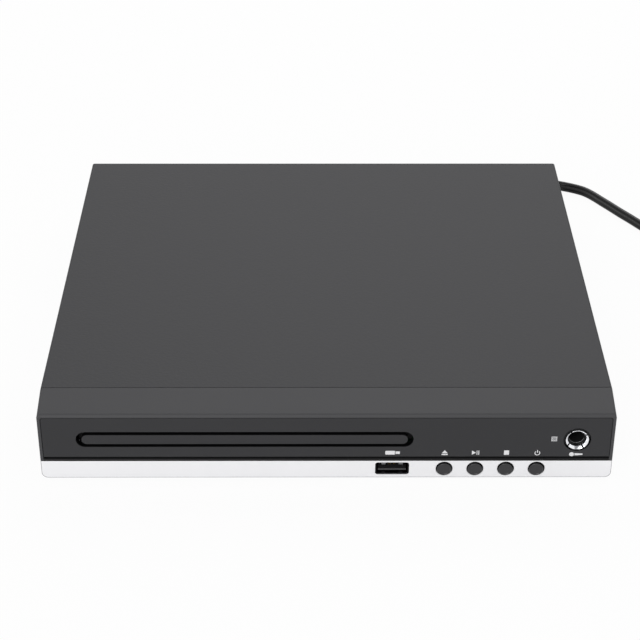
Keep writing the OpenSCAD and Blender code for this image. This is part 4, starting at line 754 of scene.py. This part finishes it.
# %% Lens finish
# The objective is a small coated lens in a black holder, so the colour changes with the distance from its
# centre: clear blue-violet glass inside, and black plastic round it.
LENS_CENTRE = middle("pickup_lens")
LENS_REACH = 2.6 * MM
lens = new_finish("coated_lens", "#10101a", Roughness=0.08, Coat_Weight=1.0)
centred = add_node(lens.tree, "ShaderNodeVectorMath", [lens.place, LENS_CENTRE], operation="SUBTRACT")
flat = add_node(lens.tree, "ShaderNodeVectorMath", [centred, (1, 1, 0)], operation="MULTIPLY")
away = add_node(lens.tree, "ShaderNodeVectorMath", [flat], operation="LENGTH").outputs["Value"]
inside = add_node(lens.tree, "ShaderNodeMath", [away, LENS_REACH], operation="LESS_THAN")
vary(lens, inside, "#18181a", "#5a6fb4", 0.5, 0.05)
dress(lens, "pickup_lens")
print("lens centre", [round(v / MM, 1) for v in LENS_CENTRE])

# %% [markdown]
# ## The electronics
# Boards are recognised by their tracks, so their finish draws them: a brick pattern, stretched and broken
# up, gives runs of copper under green lacquer, and small dots are the holes. The mains board is brown paper
# laminate with no lacquer on this side. Other parts differ by place: a ferrite core stands out of yellow
# tape, and a capacitor's top is bare aluminium above its sleeve.

# %% Board finishes
def board_finish(name, base, track, hole, roughness):
    """Laminate with tracks 0.5 mm wide and plated holes 0.9 mm across."""
    finish = new_finish(name, base, Roughness=roughness)
    wander = {"Vector": finish.place, "Scale": 1 / (9 * MM), "Detail": 0}
    bent = add_node(finish.tree, "ShaderNodeTexNoise", wander).outputs["Color"]
    steps = add_node(finish.tree, "ShaderNodeVectorMath", [bent, [6 * MM] * 3], operation="MULTIPLY")
    moved = add_node(finish.tree, "ShaderNodeVectorMath", [finish.place, steps], operation="ADD")
    runs = add_node(finish.tree, "ShaderNodeTexBrick", {
        "Vector": moved, "Scale": 1.0, "Mortar Size": 0.25 * MM, "Brick Width": 11 * MM,
        "Row Height": 1.6 * MM, "Mortar Smooth": 0.1,
    }).outputs["Fac"]
    dots = add_node(
        finish.tree, "ShaderNodeTexVoronoi",
        {"Vector": finish.place, "Scale": 1 / (4.2 * MM), "Randomness": 0.9}, voronoi_dimensions="2D",
    )
    near = add_node(finish.tree, "ShaderNodeMath", [dots, 0.11], operation="LESS_THAN")
    textured(finish, runs, runs, 0.035, (base, track), roughness, 0)
    cover_up(finish, near, hole)
    return finish


# Green lacquer over copper: glossy, with paler raised tracks.
dress(board_finish("lacquered_board", "#0f5a33", "#1f7a48", "#c9c6b8", 0.3), "main_board", "front_board")
# Phenolic paper: brown and dull, with pale printed lines.
dress(board_finish("phenolic_board", "#9a6f3a", "#8a6232", "#c9c6b8", 0.6), "power_board")
# Moulded epoxy: matt black with a fine mineral grain, on chips, switches and sockets.
epoxy = moulded_plastic("moulded_epoxy", "#1d1d1e", 0.5, grain=0.2, depth=0.01, change=0.06)
dress(epoxy, "key_switches", "remote_receiver", "jack_body", "main_chips", "av_housings")
# The socket's tongue is dark grey nylon, and its front edge is the line seen across the opening.
dark_nylon = moulded_plastic("dark_nylon", "#2f2f31", 0.5, change=0.02)
dress(dark_nylon, "usb_tongue")
# Plain extruded aluminium: bright grey, with die lines along its height.
dress(bare_metal("extruded_aluminium", "#b9bbbd", 0.35, line=0.6, run=(1, 1, 0.04), change=0.08), "heatsink")
print("board finishes ready")

# %% Transformer, capacitors and ribbon
# Ferrite core round a winding under polyester tape: the tape is glossy yellow, the core dull grey.
CORE_MIDDLE = middle("transformer")
TAPE_DEEP, TAPE_HIGH = 7 * MM, 5.7 * MM
tape = new_finish("taped_winding", "#d9a92c", Roughness=0.3)
wound = within(
    tape, Y=(CORE_MIDDLE.y - TAPE_DEEP, CORE_MIDDLE.y + TAPE_DEEP),
    Z=(CORE_MIDDLE.z - TAPE_HIGH, CORE_MIDDLE.z + TAPE_HIGH),
)
vary(tape, wound, "#3b3b3d", "#d9a92c", 0.7, 0.28)
dress(tape, "transformer")
# Shrunk printed sleeve, with the can's bare aluminium top above it.
sleeve = new_finish("shrunk_sleeve", "#1d2f55", Roughness=0.25)
bare = within(sleeve, Z=(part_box("capacitors")[1].z - 0.3 * MM, None))
vary(sleeve, bare, "#1d2f55", "#b9bbbd", 0.25, 0.35)
feed(sleeve, "Metallic", bare.outputs[0])
dress(sleeve, "capacitors")
# Laminated flat cable: white film, with the tinned conductors showing as grey lines 1.25 mm apart.
ribbon = new_finish("laminated_ribbon", "#d6d6d2", Roughness=0.35)
across = add_node(ribbon.tree, "ShaderNodeSeparateXYZ", [ribbon.place])
turns = add_node(ribbon.tree, "ShaderNodeMath", [across, 1 / (1.25 * MM)], operation="MULTIPLY")
share = add_node(ribbon.tree, "ShaderNodeMath", [turns, 1.0], operation="FLOORED_MODULO")
wire = add_node(ribbon.tree, "ShaderNodeMath", [share, 0.55], operation="LESS_THAN")
vary(ribbon, wire, "#dededa", "#9c9c98", 0.35, 0.28)
dress(ribbon, "ribbon_cable")
print("transformer stands at", [round(v / MM, 1) for v in CORE_MIDDLE])

# %% Window finish
# The remote control's window is smoked acrylic with the receiver's eye behind it: a light square rim, and a
# darker middle with a faint lattice.
WINDOW_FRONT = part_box("remote_window")[0].y + 0.01 * MM
PANE_HALF = 0.75 * MM
seen = [vertex.co for vertex in NODES["remote_window"].data.vertices if vertex.co.y < WINDOW_FRONT]
EYE = sum(seen, Vector()) / len(seen)
window = new_finish("smoked_acrylic", "#8c8c8e", Roughness=0.12, Coat_Weight=0.3)
pane = within(window, X=(EYE.x - PANE_HALF, EYE.x + PANE_HALF), Z=(EYE.z - PANE_HALF, EYE.z + PANE_HALF))
centred = add_node(window.tree, "ShaderNodeVectorMath", [window.place, EYE], operation="SUBTRACT")
grid = add_node(window.tree, "ShaderNodeTexChecker", {"Vector": centred, "Scale": 1 / (0.4 * MM)})
dark = add_node(window.tree, "ShaderNodeMath", [pane, grid.outputs["Fac"]], operation="MULTIPLY")
vary(window, dark, "#bcbcbe", "#4a4a4c", 0.2, 0.1)
dress(window, "remote_window")
print("window eye at", [round(v / MM, 1) for v in EYE])

# %% Cord finish
# Soft vinyl: black, with the slight gloss of its extruded skin and a bloom that dulls it in patches.
vinyl = soft_rubber("extruded_vinyl", "#0d0d0e", 0.26, grain=1.5, depth=0.02, specular=0.25)
for piece in (cord, plug, relief):
    piece.data.materials.append(vinyl.material)
dress(vinyl, "strain_relief", "plug_body", "power_cord", "cord_coil")
print("cord finish on", cord.name, plug.name, relief.name)

# %% [markdown]
# ## Small repeated pieces
# Screws, chip pins and socket contacts repeat, so Geometry Nodes make them: a point for each one carries
# the direction it faces, and the tree puts a copy of one shape on every point. The places of the screws and
# the pins aren't typed in. They are read from the CAD solids, from a merged copy of their meshes.

# %% Solids of a node
def solids(name):
    """The low and high corner of each separate solid in a CAD node."""
    work = bmesh.new()
    work.from_mesh(NODES[name].data)
    bmesh.ops.remove_doubles(work, verts=work.verts, dist=0.002 * MM)
    left, boxes = set(work.verts), []
    while left:
        queue, island = [left.pop()], []
        while queue:
            vertex = queue.pop()
            island.append(vertex.co.copy())
            for edge in vertex.link_edges:
                other = edge.other_vert(vertex)
                if other in left:
                    left.remove(other)
                    queue.append(other)
        boxes.append([Vector([pick(p[k] for p in island) for k in range(3)]) for pick in (min, max)])
    work.free()
    return sorted(boxes, key=lambda box: tuple(box[0]))


print("cover screws", len(solids("cover_screws")), "inner screws", len(solids("inner_screws")))

# %% Geometry Nodes helpers
def new_tree(name, sizes):
    """A geometry tree with a named input for each size, and the outputs of its group input."""
    tree = bpy.data.node_groups.new(name, "GeometryNodeTree")
    tree.interface.new_socket("Geometry", in_out="INPUT", socket_type="NodeSocketGeometry")
    for size, value in sizes.items():
        tree.interface.new_socket(size, in_out="INPUT", socket_type="NodeSocketFloat").default_value = value
    tree.interface.new_socket("Geometry", in_out="OUTPUT", socket_type="NodeSocketGeometry")
    return tree, tree.nodes.new("NodeGroupInput").outputs


def copies_on_points(tree, points, shape, finish, turn=0.0, hang=False):
    """Ends a tree: the shape on every point, with its Z to the facing, realised and given its finish.

    Each copy turns at random about its Z by up to turn, or hangs with its X downwards.
    """
    facing = add_node(tree, "GeometryNodeInputNamedAttribute", {"Name": "facing"}, data_type="FLOAT_VECTOR")
    aimed = add_node(tree, "FunctionNodeAlignRotationToVector", {"Vector": facing}, axis="Z")
    if hang:
        aimed = add_node(
            tree, "FunctionNodeAlignRotationToVector", {"Rotation": aimed, "Vector": (0, 0, -1)}, axis="X",
            pivot_axis="Z",
        )
    chance = add_node(tree, "FunctionNodeRandomValue", {2: 0.0, 3: turn, "Seed": 7}, data_type="FLOAT")
    spin = add_node(tree, "FunctionNodeAxisAngleToRotation", {"Axis": (0, 0, 1), "Angle": chance.outputs[1]})
    way = add_node(
        tree, "FunctionNodeRotateRotation", {"Rotation": aimed, "Rotate By": spin}, rotation_space="LOCAL",
    )
    each = {"Points": points, "Instance": shape, "Rotation": way}
    copies = add_node(tree, "GeometryNodeInstanceOnPoints", each)
    real = add_node(tree, "GeometryNodeRealizeInstances", {"Geometry": copies})
    done = add_node(tree, "GeometryNodeSetMaterial", {"Geometry": real, "Material": finish.material})
    add_node(tree, "NodeGroupOutput", {"Geometry": done})
    return tree


def plain_copy(piece):
    """The mesh that an object's modifiers make of it."""
    bpy.context.view_layer.update()
    return bpy.data.meshes.new_from_object(piece.evaluated_get(bpy.context.evaluated_depsgraph_get()))


def grow(name, places, tree, sizes):
    """Runs a tree on (point, facing) places, and returns the plain mesh object that it makes."""
    data = bpy.data.meshes.new(name + "_points")
    data.from_pydata([tuple(point) for point, _ in places], [], [])
    facing = data.attributes.new("facing", "FLOAT_VECTOR", "POINT")
    facing.data.foreach_set("vector", [v for _, way in places for v in way])
    seeds = new_object(name + "_points", data)
    modifier = seeds.modifiers.new("copies", "NODES")
    modifier.node_group = tree
    sockets = {item.name: item.identifier for item in tree.interface.items_tree if item.in_out == "INPUT"}
    for size, value in sizes.items():
        modifier[sockets[size]] = value
    made = plain_copy(seeds)
    bpy.data.objects.remove(seeds)
    made.name = name
    for polygon in made.polygons:
        polygon.use_smooth = True
    made.set_sharp_from_angle(angle=math.radians(35))
    return new_object(name, made)


print("tree helpers ready")

# %% [markdown]
# A machine screw has a domed head with a cross recess. The head is the overlap of a cylinder and a
# flattened ball, two blades crossed at right angles are cut out of it, and a shank is joined below.
# Each screw stopped at a turn of its own when it was driven, so each copy gets a random turn with a fixed
# seed.

# %% Screws
def screw_tree(name, finish):
    """A cross-recess screw on every point, with its seat on the point."""
    tree, size = new_tree(name, {
        "Head radius": 2.8 * MM, "Head height": 1.3 * MM, "Shank radius": 1.4 * MM, "Shank length": 3 * MM,
        "Recess reach": 1.5 * MM, "Recess width": 0.55 * MM,
    })
    # The drum's middle, the ball a little wider than the head, a blade's length, and the shank's middle
    half, wide, long, drop = (
        add_node(tree, "ShaderNodeMath", [size[which], factor], operation="MULTIPLY")
        for which, factor in (
            ("Head height", 0.5), ("Head radius", 1.12), ("Recess reach", 2.0), ("Shank length", -0.495),
        )
    )
    lift, top, below = (
        add_node(tree, "ShaderNodeCombineXYZ", {"Z": height}) for height in (half, size["Head height"], drop)
    )
    drum, shank = (
        add_node(tree, "GeometryNodeMeshCylinder", {"Vertices": sides, "Radius": radius, "Depth": depth})
        for sides, radius, depth in (
            (32, size["Head radius"], size["Head height"]), (20, size["Shank radius"], size["Shank length"]),
        )
    )
    raised = add_node(tree, "GeometryNodeTransform", {"Geometry": drum, "Translation": lift})
    spread = add_node(tree, "ShaderNodeCombineXYZ", [wide, wide, size["Head height"]])
    ball = add_node(tree, "GeometryNodeMeshUVSphere", {"Segments": 48, "Rings": 32, "Radius": 1.0})
    flat = add_node(tree, "GeometryNodeTransform", {"Geometry": ball, "Scale": spread})
    dome = add_node(tree, "GeometryNodeMeshBoolean", operation="INTERSECT", solver="EXACT")
    for part in (raised, flat):
        tree.links.new(part.outputs[0], dome.inputs["Mesh 2"])
    recess = add_node(
        tree, "GeometryNodeMeshBoolean", {"Mesh 1": dome}, operation="DIFFERENCE", solver="EXACT",
    )
    for sides in ((long, size["Recess width"]), (size["Recess width"], long)):
        extent = add_node(tree, "ShaderNodeCombineXYZ", [*sides, size["Head height"]])
        blade = add_node(tree, "GeometryNodeMeshCube", {"Size": extent})
        placed = add_node(tree, "GeometryNodeTransform", {"Geometry": blade, "Translation": top})
        tree.links.new(placed.outputs[0], recess.inputs["Mesh 2"])
    sunk = add_node(tree, "GeometryNodeTransform", {"Geometry": shank, "Translation": below})
    whole = add_node(tree, "GeometryNodeJoinGeometry")
    for part in (recess, sunk):
        tree.links.new(part.outputs[0], whole.inputs[0])
    return copies_on_points(tree, size["Geometry"], whole, finish, math.pi)


def screw_places(name, head_height, outwards):
    """Where each screw of a node is seated, and which way it faces."""
    centre = middle("base_pan")
    places = []
    for low, high in solids(name):
        sides = high - low
        axis = min(range(3), key=lambda k: abs(sides[(k + 1) % 3] - sides[(k + 2) % 3]))
        seat = (low + high) / 2
        way = Vector((0, 0, 0))
        way[axis] = 1 if not outwards or seat[axis] > centre[axis] else -1
        seat[axis] = (high if way[axis] > 0 else low)[axis] - way[axis] * head_height
        places.append((seat, way))
    return places


# The piece, the node it replaces, its slot, whether its screws face outwards, its finish and its sizes
SCREWS = [
    ("case_screws", "cover_screws", "black_screw", True, black_screw, {"Head height": 1.3 * MM}),
    ("board_screws", "inner_screws", "zinc_steel", False, zinc_sheet, {
        "Head height": 1.4 * MM, "Head radius": 2.7 * MM, "Shank radius": 1.35 * MM, "Shank length": 4.4 * MM,
    }),
]
for name, node, slot, outwards, finish, sizes in SCREWS:
    places = screw_places(node, sizes["Head height"], outwards)
    screws = fit(grow(name, places, screw_tree(name[:-1], finish), sizes), slot, node)
    print(name, len(places), "with", len(screws.data.polygons), "faces")

# %% [markdown]
# Chips stand on gull-wing pins: a shoulder at the package, a slope, and a foot on the board. They are
# points along each side of each package, so the count follows from the package's size and the pitch.

# %% Chip pins
PIN_PITCH = 1.0 * MM
PIN_MARGIN = 1.2 * MM
PIN_HEIGHT = 0.8 * MM
FLAT_PACKAGE = 2.5 * MM


def pin_tree(finish):
    """A gull-wing pin on every point, with its foot towards the facing."""
    tree, size = new_tree("gull_wing_pin", {
        "Pin width": 0.4 * MM, "Pin reach": 1.1 * MM, "Pin drop": 1.2 * MM,
    })
    reach, drop = size["Pin reach"], size["Pin drop"]
    whole = add_node(tree, "GeometryNodeJoinGeometry")
    # Each bar's length and place along the facing (Z), then down the board (X), as shares of reach and drop
    for shares in ((0.45, 0.2, 0.14, 0.0), (0.14, 0.42, 1.0, 0.5), (0.6, 0.7, 0.12, 1.0)):
        long, out, tall, fall = (
            add_node(tree, "ShaderNodeMath", [total, share], operation="MULTIPLY")
            for total, share in zip((reach, reach, drop, drop), shares)
        )
        extent = add_node(tree, "ShaderNodeCombineXYZ", [tall, size["Pin width"], long])
        place = add_node(tree, "ShaderNodeCombineXYZ", {"X": fall, "Z": out})
        piece = add_node(tree, "GeometryNodeMeshCube", {"Size": extent})
        moved = add_node(tree, "GeometryNodeTransform", {"Geometry": piece, "Translation": place})
        tree.links.new(moved.outputs[0], whole.inputs[0])
    return copies_on_points(tree, size["Geometry"], whole, finish, hang=True)


def pin_places(boxes):
    """Points along the four sides of each package, a pitch apart, with the corners left free."""
    places = []
    for low, high in boxes:
        centre = (low + high) / 2
        for axis in (0, 1):
            along = 1 - axis
            count = int((high[along] - low[along] - 2 * PIN_MARGIN) / PIN_PITCH) + 1
            for side in (-1, 1):
                for step in range(count):
                    point, way = Vector((0, 0, low.z + PIN_HEIGHT)), Vector((0, 0, 0))
                    point[axis] = centre[axis] + side * (high[axis] - low[axis]) / 2
                    point[along] = centre[along] + (step - (count - 1) / 2) * PIN_PITCH
                    way[axis] = side
                    places.append((point, way))
    return places


# Tinned copper: bright grey, and a little dull where the tin has aged.
tinned = bare_metal("tinned_copper", "#c4c6c8", 0.3, line=0.3, depth=0.002)
packages = [box for box in solids("main_chips") if box[1].z - box[0].z < FLAT_PACKAGE]
pins = grow("chip_pins", pin_places(packages), pin_tree(tinned), {"Pin drop": PIN_HEIGHT - 0.06 * MM})
fit(pins, "nickel")
print("chip pins have", len(pins.data.polygons), "faces")

# %% [markdown]
# ## Printed marks
# Each key's use is printed above it in light grey ink: eject, play and pause, stop, and power. The socket
# and the jack get a plain picture of a memory stick and of a microphone. Ink is a skin a few hundredths of a
# millimetre thick, so each mark is flat outlines given that thickness on the face's surface.

# %% Marks
INK = 0.04 * MM
MARK_LINE = FACE_LOW.z + 1.9 * MM
MICROPHONE_DROP = 0.8 * MM


def arc(radius, first, last, steps, centre=(0, 0)):
    """Points along an arc, with angles in degrees from the right, anticlockwise."""
    angles = [math.radians(blend(first, last, i / steps)) for i in range(steps + 1)]
    return [(centre[0] + radius * math.cos(a), centre[1] + radius * math.sin(a)) for a in angles]


def bar(x0, z0, x1, z1):
    """The outline of an upright rectangle."""
    return [(x0, z0), (x1, z0), (x1, z1), (x0, z1)]


# The node that each mark stands above, and the mark's outlines in millimetres
MARKS = {
    "eject": ("button_eject", [[(-1.2, -0.3), (1.2, -0.3), (0, 1.2)], bar(-1.2, -1.15, 1.2, -0.65)]),
    "play_pause": ("button_play", [
        [(-1.45, -1.0), (0.15, 0), (-1.45, 1.0)], bar(0.4, -1.0, 0.7, 1.0), bar(1.1, -1.0, 1.4, 1.0),
    ]),
    "stop": ("button_stop", [bar(-1.0, -1.05, 1.0, 1.05)]),
    "power": ("button_power", [
        arc(1.11, 130, 410, 28, (0, -0.2)) + arc(0.79, 410, 130, 28, (0, -0.2)), bar(-0.16, -0.1, 0.16, 1.2),
    ]),
    "memory_stick": ("usb_shell", [
        [
            *arc(0.35, 180, 90, 5, (-2.5, 0.55)), (0.9, 0.9), (0.9, -0.9),
            *arc(0.35, 270, 180, 5, (-2.5, -0.55)),
        ],
        bar(1.15, -0.62, 2.85, 0.62),
    ]),
    "microphone": ("jack_nut", [
        arc(0.95, 40, 320, 24, (-1.75, 0)), bar(-0.95, -0.62, -0.68, 0.62),
        [(-0.5, -0.55), (2.4, -0.3), (2.6, -0.15), (2.6, 0.15), (2.4, 0.3), (-0.5, 0.55)],
    ]),
}
# Pad-printed ink: light grey and matt, slightly uneven where the pad lifted.
ink = moulded_plastic("pad_printed_ink", "#e6e6e8", 0.6, grain=0.2, depth=0.004, patch=0.5, change=0.06)
for name, (node, outlines) in MARKS.items():
    x, z = middle(node).x, MARK_LINE - (MICROPHONE_DROP if name == "microphone" else 0)
    depths = (FACE_LOW.y - INK, FACE_LOW.y + INK / 4)
    skins = [
        [[Vector((x + u * MM, y, z + w * MM)) for u, w in outline] for y in depths] for outline in outlines
    ]
    fit(lofted("mark_" + name, *skins, smooth=False), "pale_plastic", finish=ink)
print("marks", ", ".join(MARKS))

# %% [markdown]
# ## Inside the sockets
# A memory stick is held by four spring leaves pressed out of the shell, and read by four gilded pads on the
# tongue. The leaves are thin strips whose middle dips into the opening. The upper ones dip further than real
# ones, so that they show. The tongue is moulded again here with the thin tip that guides a plug over it, a
# little further forward. Phono sockets are told apart by the colour of the plastic round their sleeves.

# %% Spring leaves
SHELL_LOW, SHELL_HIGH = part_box("usb_shell")
SHELL_MIDDLE = middle("usb_shell").x
SHELL_WALL = 0.3 * MM
# How far in, in millimetres, and the share of its dip, along a leaf
LEAF_SHAPE = [(0.1, 0.0), (0.4, 0.5), (0.8, 0.9), (1.2, 1.0), (1.8, 0.85), (3.2, 0.4), (5.0, 0.0)]
LEAF_HALF, LEAF_THICK, LEAF_ASIDE = 0.8 * MM, 0.15 * MM, 3.4 * MM
TOP_DIP, BOTTOM_DIP = 1.8 * MM, 0.3 * MM


def make_leaf(name, x, wall, inwards, dip):
    """A strip along the shell's depth that dips away from its wall and comes back."""
    rings = []
    for deep, share in LEAF_SHAPE:
        near = wall + inwards * (share * dip + 0.02 * MM)
        rings.append([
            Vector((x + u * LEAF_HALF, SHELL_LOW.y + deep * MM, near + inwards * w * LEAF_THICK))
            for u, w in bar(-1, 0, 1, 1)
        ])
    return lofted(name, rings)


# Spring steel: the upper leaves are taken to be rubbed bare by plugs, so they are greyer than the plated
# shell.
# The lower leaves keep the shell's dark colour, which is painted shade.
spring_steel = bare_metal("rubbed_spring_steel", "#77787a", 0.4, line=0.2, depth=0.002)
for end, side in (("_left", -1), ("_right", 1)):
    x = SHELL_MIDDLE + side * LEAF_ASIDE
    upper = make_leaf("socket_leaf_top" + end, x, SHELL_HIGH.z - SHELL_WALL, -1, TOP_DIP)
    fit(upper, "motor_steel", finish=spring_steel, sharp=40)
    lower = make_leaf("socket_leaf_bottom" + end, x, SHELL_LOW.z + SHELL_WALL, 1, BOTTOM_DIP)
    fit(lower, "motor_steel", finish=shaded_dark_nickel, sharp=40)
print("upper leaves stand", round(TOP_DIP / MM, 2), "mm into the opening")

# %% Tongue and contacts
TONGUE_LOW, TONGUE_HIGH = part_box("usb_tongue")
TONGUE_HALF, TONGUE_FORWARD, TONGUE_RAISED, ROOT_DEPTH = 5.55 * MM, 0.4 * MM, 0.1 * MM, 2.5 * MM
PAD_BACK = 7.2 * MM
# How far each pad lies from the socket's middle, in millimetres
PAD_PLACES = (-3.5, -1, 1, 3.5)
tip = [v.co.z for v in NODES["usb_tongue"].data.vertices if v.co.y < TONGUE_LOW.y + 0.01 * MM]
TONGUE_TOP = max(tip) + TONGUE_RAISED


def make_tongue():
    """The tongue with a thin tip: its top is bevelled, and it thickens backwards from below."""
    foot, top = min(tip), TONGUE_TOP
    front, root = TONGUE_LOW.y - TONGUE_FORWARD, TONGUE_HIGH.y - ROOT_DEPTH
    outline = [(front, top - 0.3 * MM), (front + 0.3 * MM, top), (root, top), (root, foot),
               (front + 1.8 * MM, foot), (front, top - 0.5 * MM)]
    blade = [[Vector((SHELL_MIDDLE + side * TONGUE_HALF, y, z)) for y, z in outline] for side in (-1, 1)]
    sides = bar(TONGUE_LOW.x, TONGUE_LOW.z, TONGUE_HIGH.x, TONGUE_HIGH.z)
    block = [[Vector((x, y, z)) for x, z in sides] for y in (root, TONGUE_HIGH.y)]
    return lofted("socket_tongue", blade, block, smooth=False)


def bar_tree(finish):
    """A flat bar on every point, long across the facing."""
    tree, size = new_tree("contact_bar", {"Bar width": 1 * MM, "Bar length": 6 * MM, "Bar height": 0.15 * MM})
    sides = [size["Bar " + side] for side in ("width", "length", "height")]
    extent = add_node(tree, "ShaderNodeCombineXYZ", sides)
    shape = add_node(tree, "GeometryNodeMeshCube", {"Size": extent})
    return copies_on_points(tree, size["Geometry"], shape, finish)


fit(make_tongue(), "black_component", "usb_tongue", finish=dark_nylon)
print("tongue's top is", round((TONGUE_TOP - SHELL_LOW.z) / MM, 2), "mm above the shell's foot")
# Gold over nickel on contact faces: warm and bright.
gilt = bare_metal("gilded_contact", "#e2b95c", 0.2, line=0.2, depth=0.001, change=0.03)
pads = grow("socket_pads", [
    (Vector((SHELL_MIDDLE + x * MM, SHELL_LOW.y + PAD_BACK, TONGUE_TOP)), Vector((0, 0, 1)))
    for x in PAD_PLACES
], bar_tree(gilt), {"Bar height": 0.12 * MM})
fit(pads, "brass")
print("contact pads", len(pads.data.polygons) // 6)

# %% Phono socket collars
# Each collar is a ring that stands on the panel round a sleeve. Its colour follows the usual code.
COLLAR_OUT = 2.2 * MM
COLLAR_CODE = [("yellow", "#d8b51f"), ("white", "#d9d9d6"), ("red", "#b3201f")]


def collar_profile(inner, outer, start):
    """A closed ring's section: out along the front with a small round, and back inside."""
    tip = start + COLLAR_OUT
    soft = 0.35 * MM
    return [(inner, start), (outer, start), (outer, tip - soft), (outer - soft * 0.3, tip - soft * 0.3),
            (outer - soft, tip), (inner, tip)]


for (low, high), (code, colour) in zip(solids("av_sleeves"), COLLAR_CODE):
    radius = (high.x - low.x) / 2
    section = collar_profile(radius + 0.05 * MM, radius + 1.15 * MM, PANEL_BACK + 0.02 * MM)
    collar = turned("phono_collar_" + code, section, (low + high) / 2, ring=True)
    # Coloured ABS collar: glossy and even.
    paint = moulded_plastic(code + "_collar_abs", colour, 0.3, depth=0.004, change=0.02)
    fit(collar, "pale_plastic", finish=paint, sharp=35)
print("collars", [code for code, _ in COLLAR_CODE])

# %% [markdown]
# ## The jack
# A chromed ring nut holds the microphone jack. Its rim is thin, and a cone as deep as the face is thick
# leads the plug in. Two crossed slots take a pin spanner, and they are cut with a boolean, because their
# sides are parallel. The cone needs room, so the jack's housing is moulded again with a shorter bushing: it
# is turned in one go, and a bend function squares its outer part. A contact spring lies along the bottom of
# the bore and catches a little light.

# %% Jack
NUT_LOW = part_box("jack_nut")[0]
# Radius, and how far back from the CAD nut's front, in millimetres
NUT_SECTION = [
    (4.38, 0.65), (4.42, 0.65), (4.47, 0.7), (4.47, 0.78), (4.22, 1.2), (4.22, 2.95), (4.05, 2.95),
    (4.05, 2.3), (3.3, 2.3), (3.3, 2.2), (3.4, 1.75), (3.6, 1.25), (3.98, 0.92), (4.3, 0.7),
]
CONTACT_SECTION = [(3.02, 3.35), (3.19, 3.25), (3.19, 3.6), (3.02, 3.5)]
SLOT_REACH, SLOT_HALF, SLOT_FLOOR = 6, 0.35, 1.35
SLOT_TURNS = (35, 125)


def back_by(pairs):
    """(Radius, y) pairs in metres from millimetres measured back from the nut's front."""
    return [(radius * MM, NUT_LOW.y + back * MM) for radius, back in pairs]


def cut_slot(ring, degrees, finish):
    """Cuts a slot across a ring's front with a boolean, and gives its faces a finish."""
    turn = Matrix.Rotation(-math.radians(degrees), 3, "Y")
    centre = Vector((NUT_CENTRE.x, NUT_LOW.y, NUT_CENTRE.z))
    blade = lofted("slot_blade", [
        [centre + turn @ Vector((x * SLOT_REACH, y, z * SLOT_HALF)) * MM for x, z in bar(-1, -1, 1, 1)]
        for y in (-1, SLOT_FLOOR)
    ], smooth=False)
    blade.data.materials.append(finish.material)
    cut = ring.modifiers.new("slot", "BOOLEAN")
    cut.object, cut.operation, cut.solver, cut.material_mode = blade, "DIFFERENCE", "EXACT", "TRANSFER"
    made = plain_copy(ring)
    ring.modifiers.clear()
    ring.data = made
    bpy.data.objects.remove(blade)


nut = turned("ring_nut", back_by(NUT_SECTION), NUT_CENTRE, 96, ring=True)
nut.data.materials.append(chrome.material)
# The slots are painted black, which is painted shade and dark reflection in them.
slot_shade_finish = moulded_plastic("slot_painted_shade", "#141415", 0.7, grain=0.1, depth=0.01, specular=0.1)
for degrees in SLOT_TURNS:
    cut_slot(nut, degrees, slot_shade_finish)
fit(nut, "nickel", "jack_nut", sharp=35)
print("nut has", len(nut.data.polygons), "faces")

# %% Jack housing and contact
JACK_LOW, JACK_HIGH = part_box("jack_body")
BOX_HALF = (JACK_HIGH.x - JACK_LOW.x) / 2
BOX_FRONT = min(
    v.co.y for v in NODES["jack_body"].data.vertices if abs(v.co.x - NUT_CENTRE.x) > 0.6 * BOX_HALF
)
BUSHING_FRONT = NUT_LOW.y + 2.35 * MM
BUSHING, BORE, BORE_END = 4.0 * MM, 3.2 * MM, JACK_HIGH.y - 1.5 * MM


def squared(angle, radius, y):
    """Turns the wide circles of a profile into rounded squares."""
    if radius < BOX_HALF - 0.1 * MM:
        return radius, y
    u, v = abs(math.cos(angle)), abs(math.sin(angle))
    return radius * (u ** 12 + v ** 12) ** (-1 / 12), y


housing = turned("jack_housing", [
    (BOX_HALF, JACK_HIGH.y), (BOX_HALF, BOX_FRONT), (BUSHING, BOX_FRONT), (BUSHING, BUSHING_FRONT),
    (BORE, BUSHING_FRONT), (BORE, BORE_END),
], NUT_CENTRE, 72, bend=squared)
fit(housing, "black_component", "jack_body", finish=epoxy, sharp=35)
contact = turned("sleeve_contact", back_by(CONTACT_SECTION), NUT_CENTRE, ring=True, span=(200, 345))
fit(contact, "nickel", finish=spring_steel)
print("housing is", round((JACK_HIGH.y - BOX_FRONT) / MM, 1), "mm long behind its bushing")
